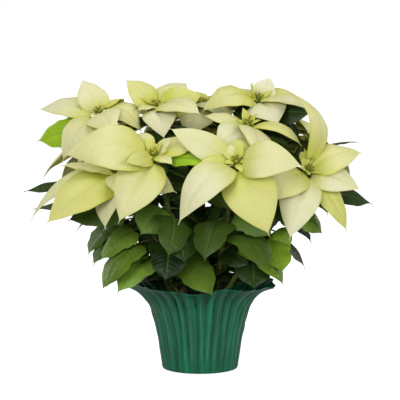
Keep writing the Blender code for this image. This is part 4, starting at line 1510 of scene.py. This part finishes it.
# Lights: name, place, width and height in metres, and watts.
LIGHTS = (
    ("key", (-0.9, -2.7, 1.35), 1.8, 1.4, 45),
    ("fill", (1.9, -2.2, 0.9), 1.4, 1.4, 29),
    ("top", (0.0, 0.2, 2.4), 1.4, 1.4, 17),
    ("left_rim", (-2.0, 1.2, 0.9), 0.25, 1.7, 15),
    ("right_rim", (2.0, 1.1, 0.8), 0.25, 1.7, 12),
)


def aimed(name, data, place):
    """A camera or light at its place, turned towards the plant."""
    made = bpy.data.objects.new(name, data)
    bpy.context.scene.collection.objects.link(made)
    made.location = place
    made.rotation_euler = (CAMERA_TARGET - place).to_track_quat("-Z", "Y").to_euler()
    return made


def camera():
    data = bpy.data.cameras.new("camera")
    data.lens = CAMERA_LENS
    data.sensor_width = CAMERA_FILM_WIDTH
    back = Vector((0, -math.cos(CAMERA_RISE), math.sin(CAMERA_RISE))) * CAMERA_DISTANCE
    bpy.context.scene.camera = aimed("camera", data, CAMERA_TARGET + back)


def soft_light(name, place, width, height, watts):
    data = bpy.data.lights.new(name, "AREA")
    data.shape = "RECTANGLE"
    data.size = width
    data.size_y = height
    data.energy = watts
    aimed(name, data, Vector(place))


def surroundings():
    """White to the eye, and a softer white as light."""
    world = bpy.data.worlds.new("surroundings")
    bpy.context.scene.world = world
    world.use_nodes = True
    w = Wiring(world.node_tree)
    world.node_tree.nodes.clear()
    lit = w.node("ShaderNodeBackground", {"Color": (1, 1, 1, 1), "Strength": 0.16})
    seen = w.node("ShaderNodeBackground", {"Color": (1, 1, 1, 1), "Strength": 1.0})
    eye = w.node("ShaderNodeLightPath").outputs["Is Camera Ray"]
    both = w.node("ShaderNodeMixShader", {0: eye, 1: lit.outputs[0], 2: seen.outputs[0]})
    w.node("ShaderNodeOutputWorld", {"Surface": both.outputs[0]})


def floor():
    """A plain floor that turns as white as the surroundings away from the pot."""
    ground = added(bpy.ops.mesh.primitive_plane_add, size=40)
    ground.name = "floor"
    material, w, shader = new_material("floor", Roughness=0.9, Emission_Color=(1, 1, 1, 1))
    shader["Base Color"].default_value = (0.4, 0.4, 0.4, 1)
    place = w.node("ShaderNodeTexCoord").outputs["Object"]
    reach = w.node("ShaderNodeVectorMath", {0: place}, operation="LENGTH").outputs["Value"]
    eye = w.node("ShaderNodeLightPath").outputs["Is Camera Ray"]
    w.plug(shader["Emission Strength"], w.times(eye, w.step(reach, 0.15, 0.6, 0.86, 1.05)))
    painted(ground, material)


def studio():
    bpy.context.scene.view_settings.view_transform = "Standard"
    surroundings()
    floor()
    for light in LIGHTS:
        soft_light(*light)
    camera()


def main():
    pleated_cover()
    growers_pot()
    potting_mix()
    perlite()
    for plant in TRUNKS:
        woody_stem(plant)
    leaves, bracts = {}, {}
    thicket = Thicket()
    for name, bloom in BLOOMS.items():
        leaves[name] = found_blades("branch", name, leaf_blades(name, bloom))
        bracts[name] = found_blades("bracts", name, bract_blades(name, bloom))
        thicket.add(*branch_layer(bloom))
        for blade, habit in leaves[name] + bracts[name]:
            thicket.add(*blade_layer(blade, 0.0))
    filling = filling_leaves(thicket)
    for name, bloom in BLOOMS.items():
        leafy_stem(name, bloom, leaves[name], filling[name])
        bract_whorl(name, bloom, bracts[name])
        inner_bracts(name, bloom)
        flower_cluster(name, bloom)
    for master in (BLADE_SHEET, SMALL_SHEET, RIB_SHEET, STEM_SHEET, CUP_MASTER):
        bpy.data.objects.remove(master)
    studio()


main()
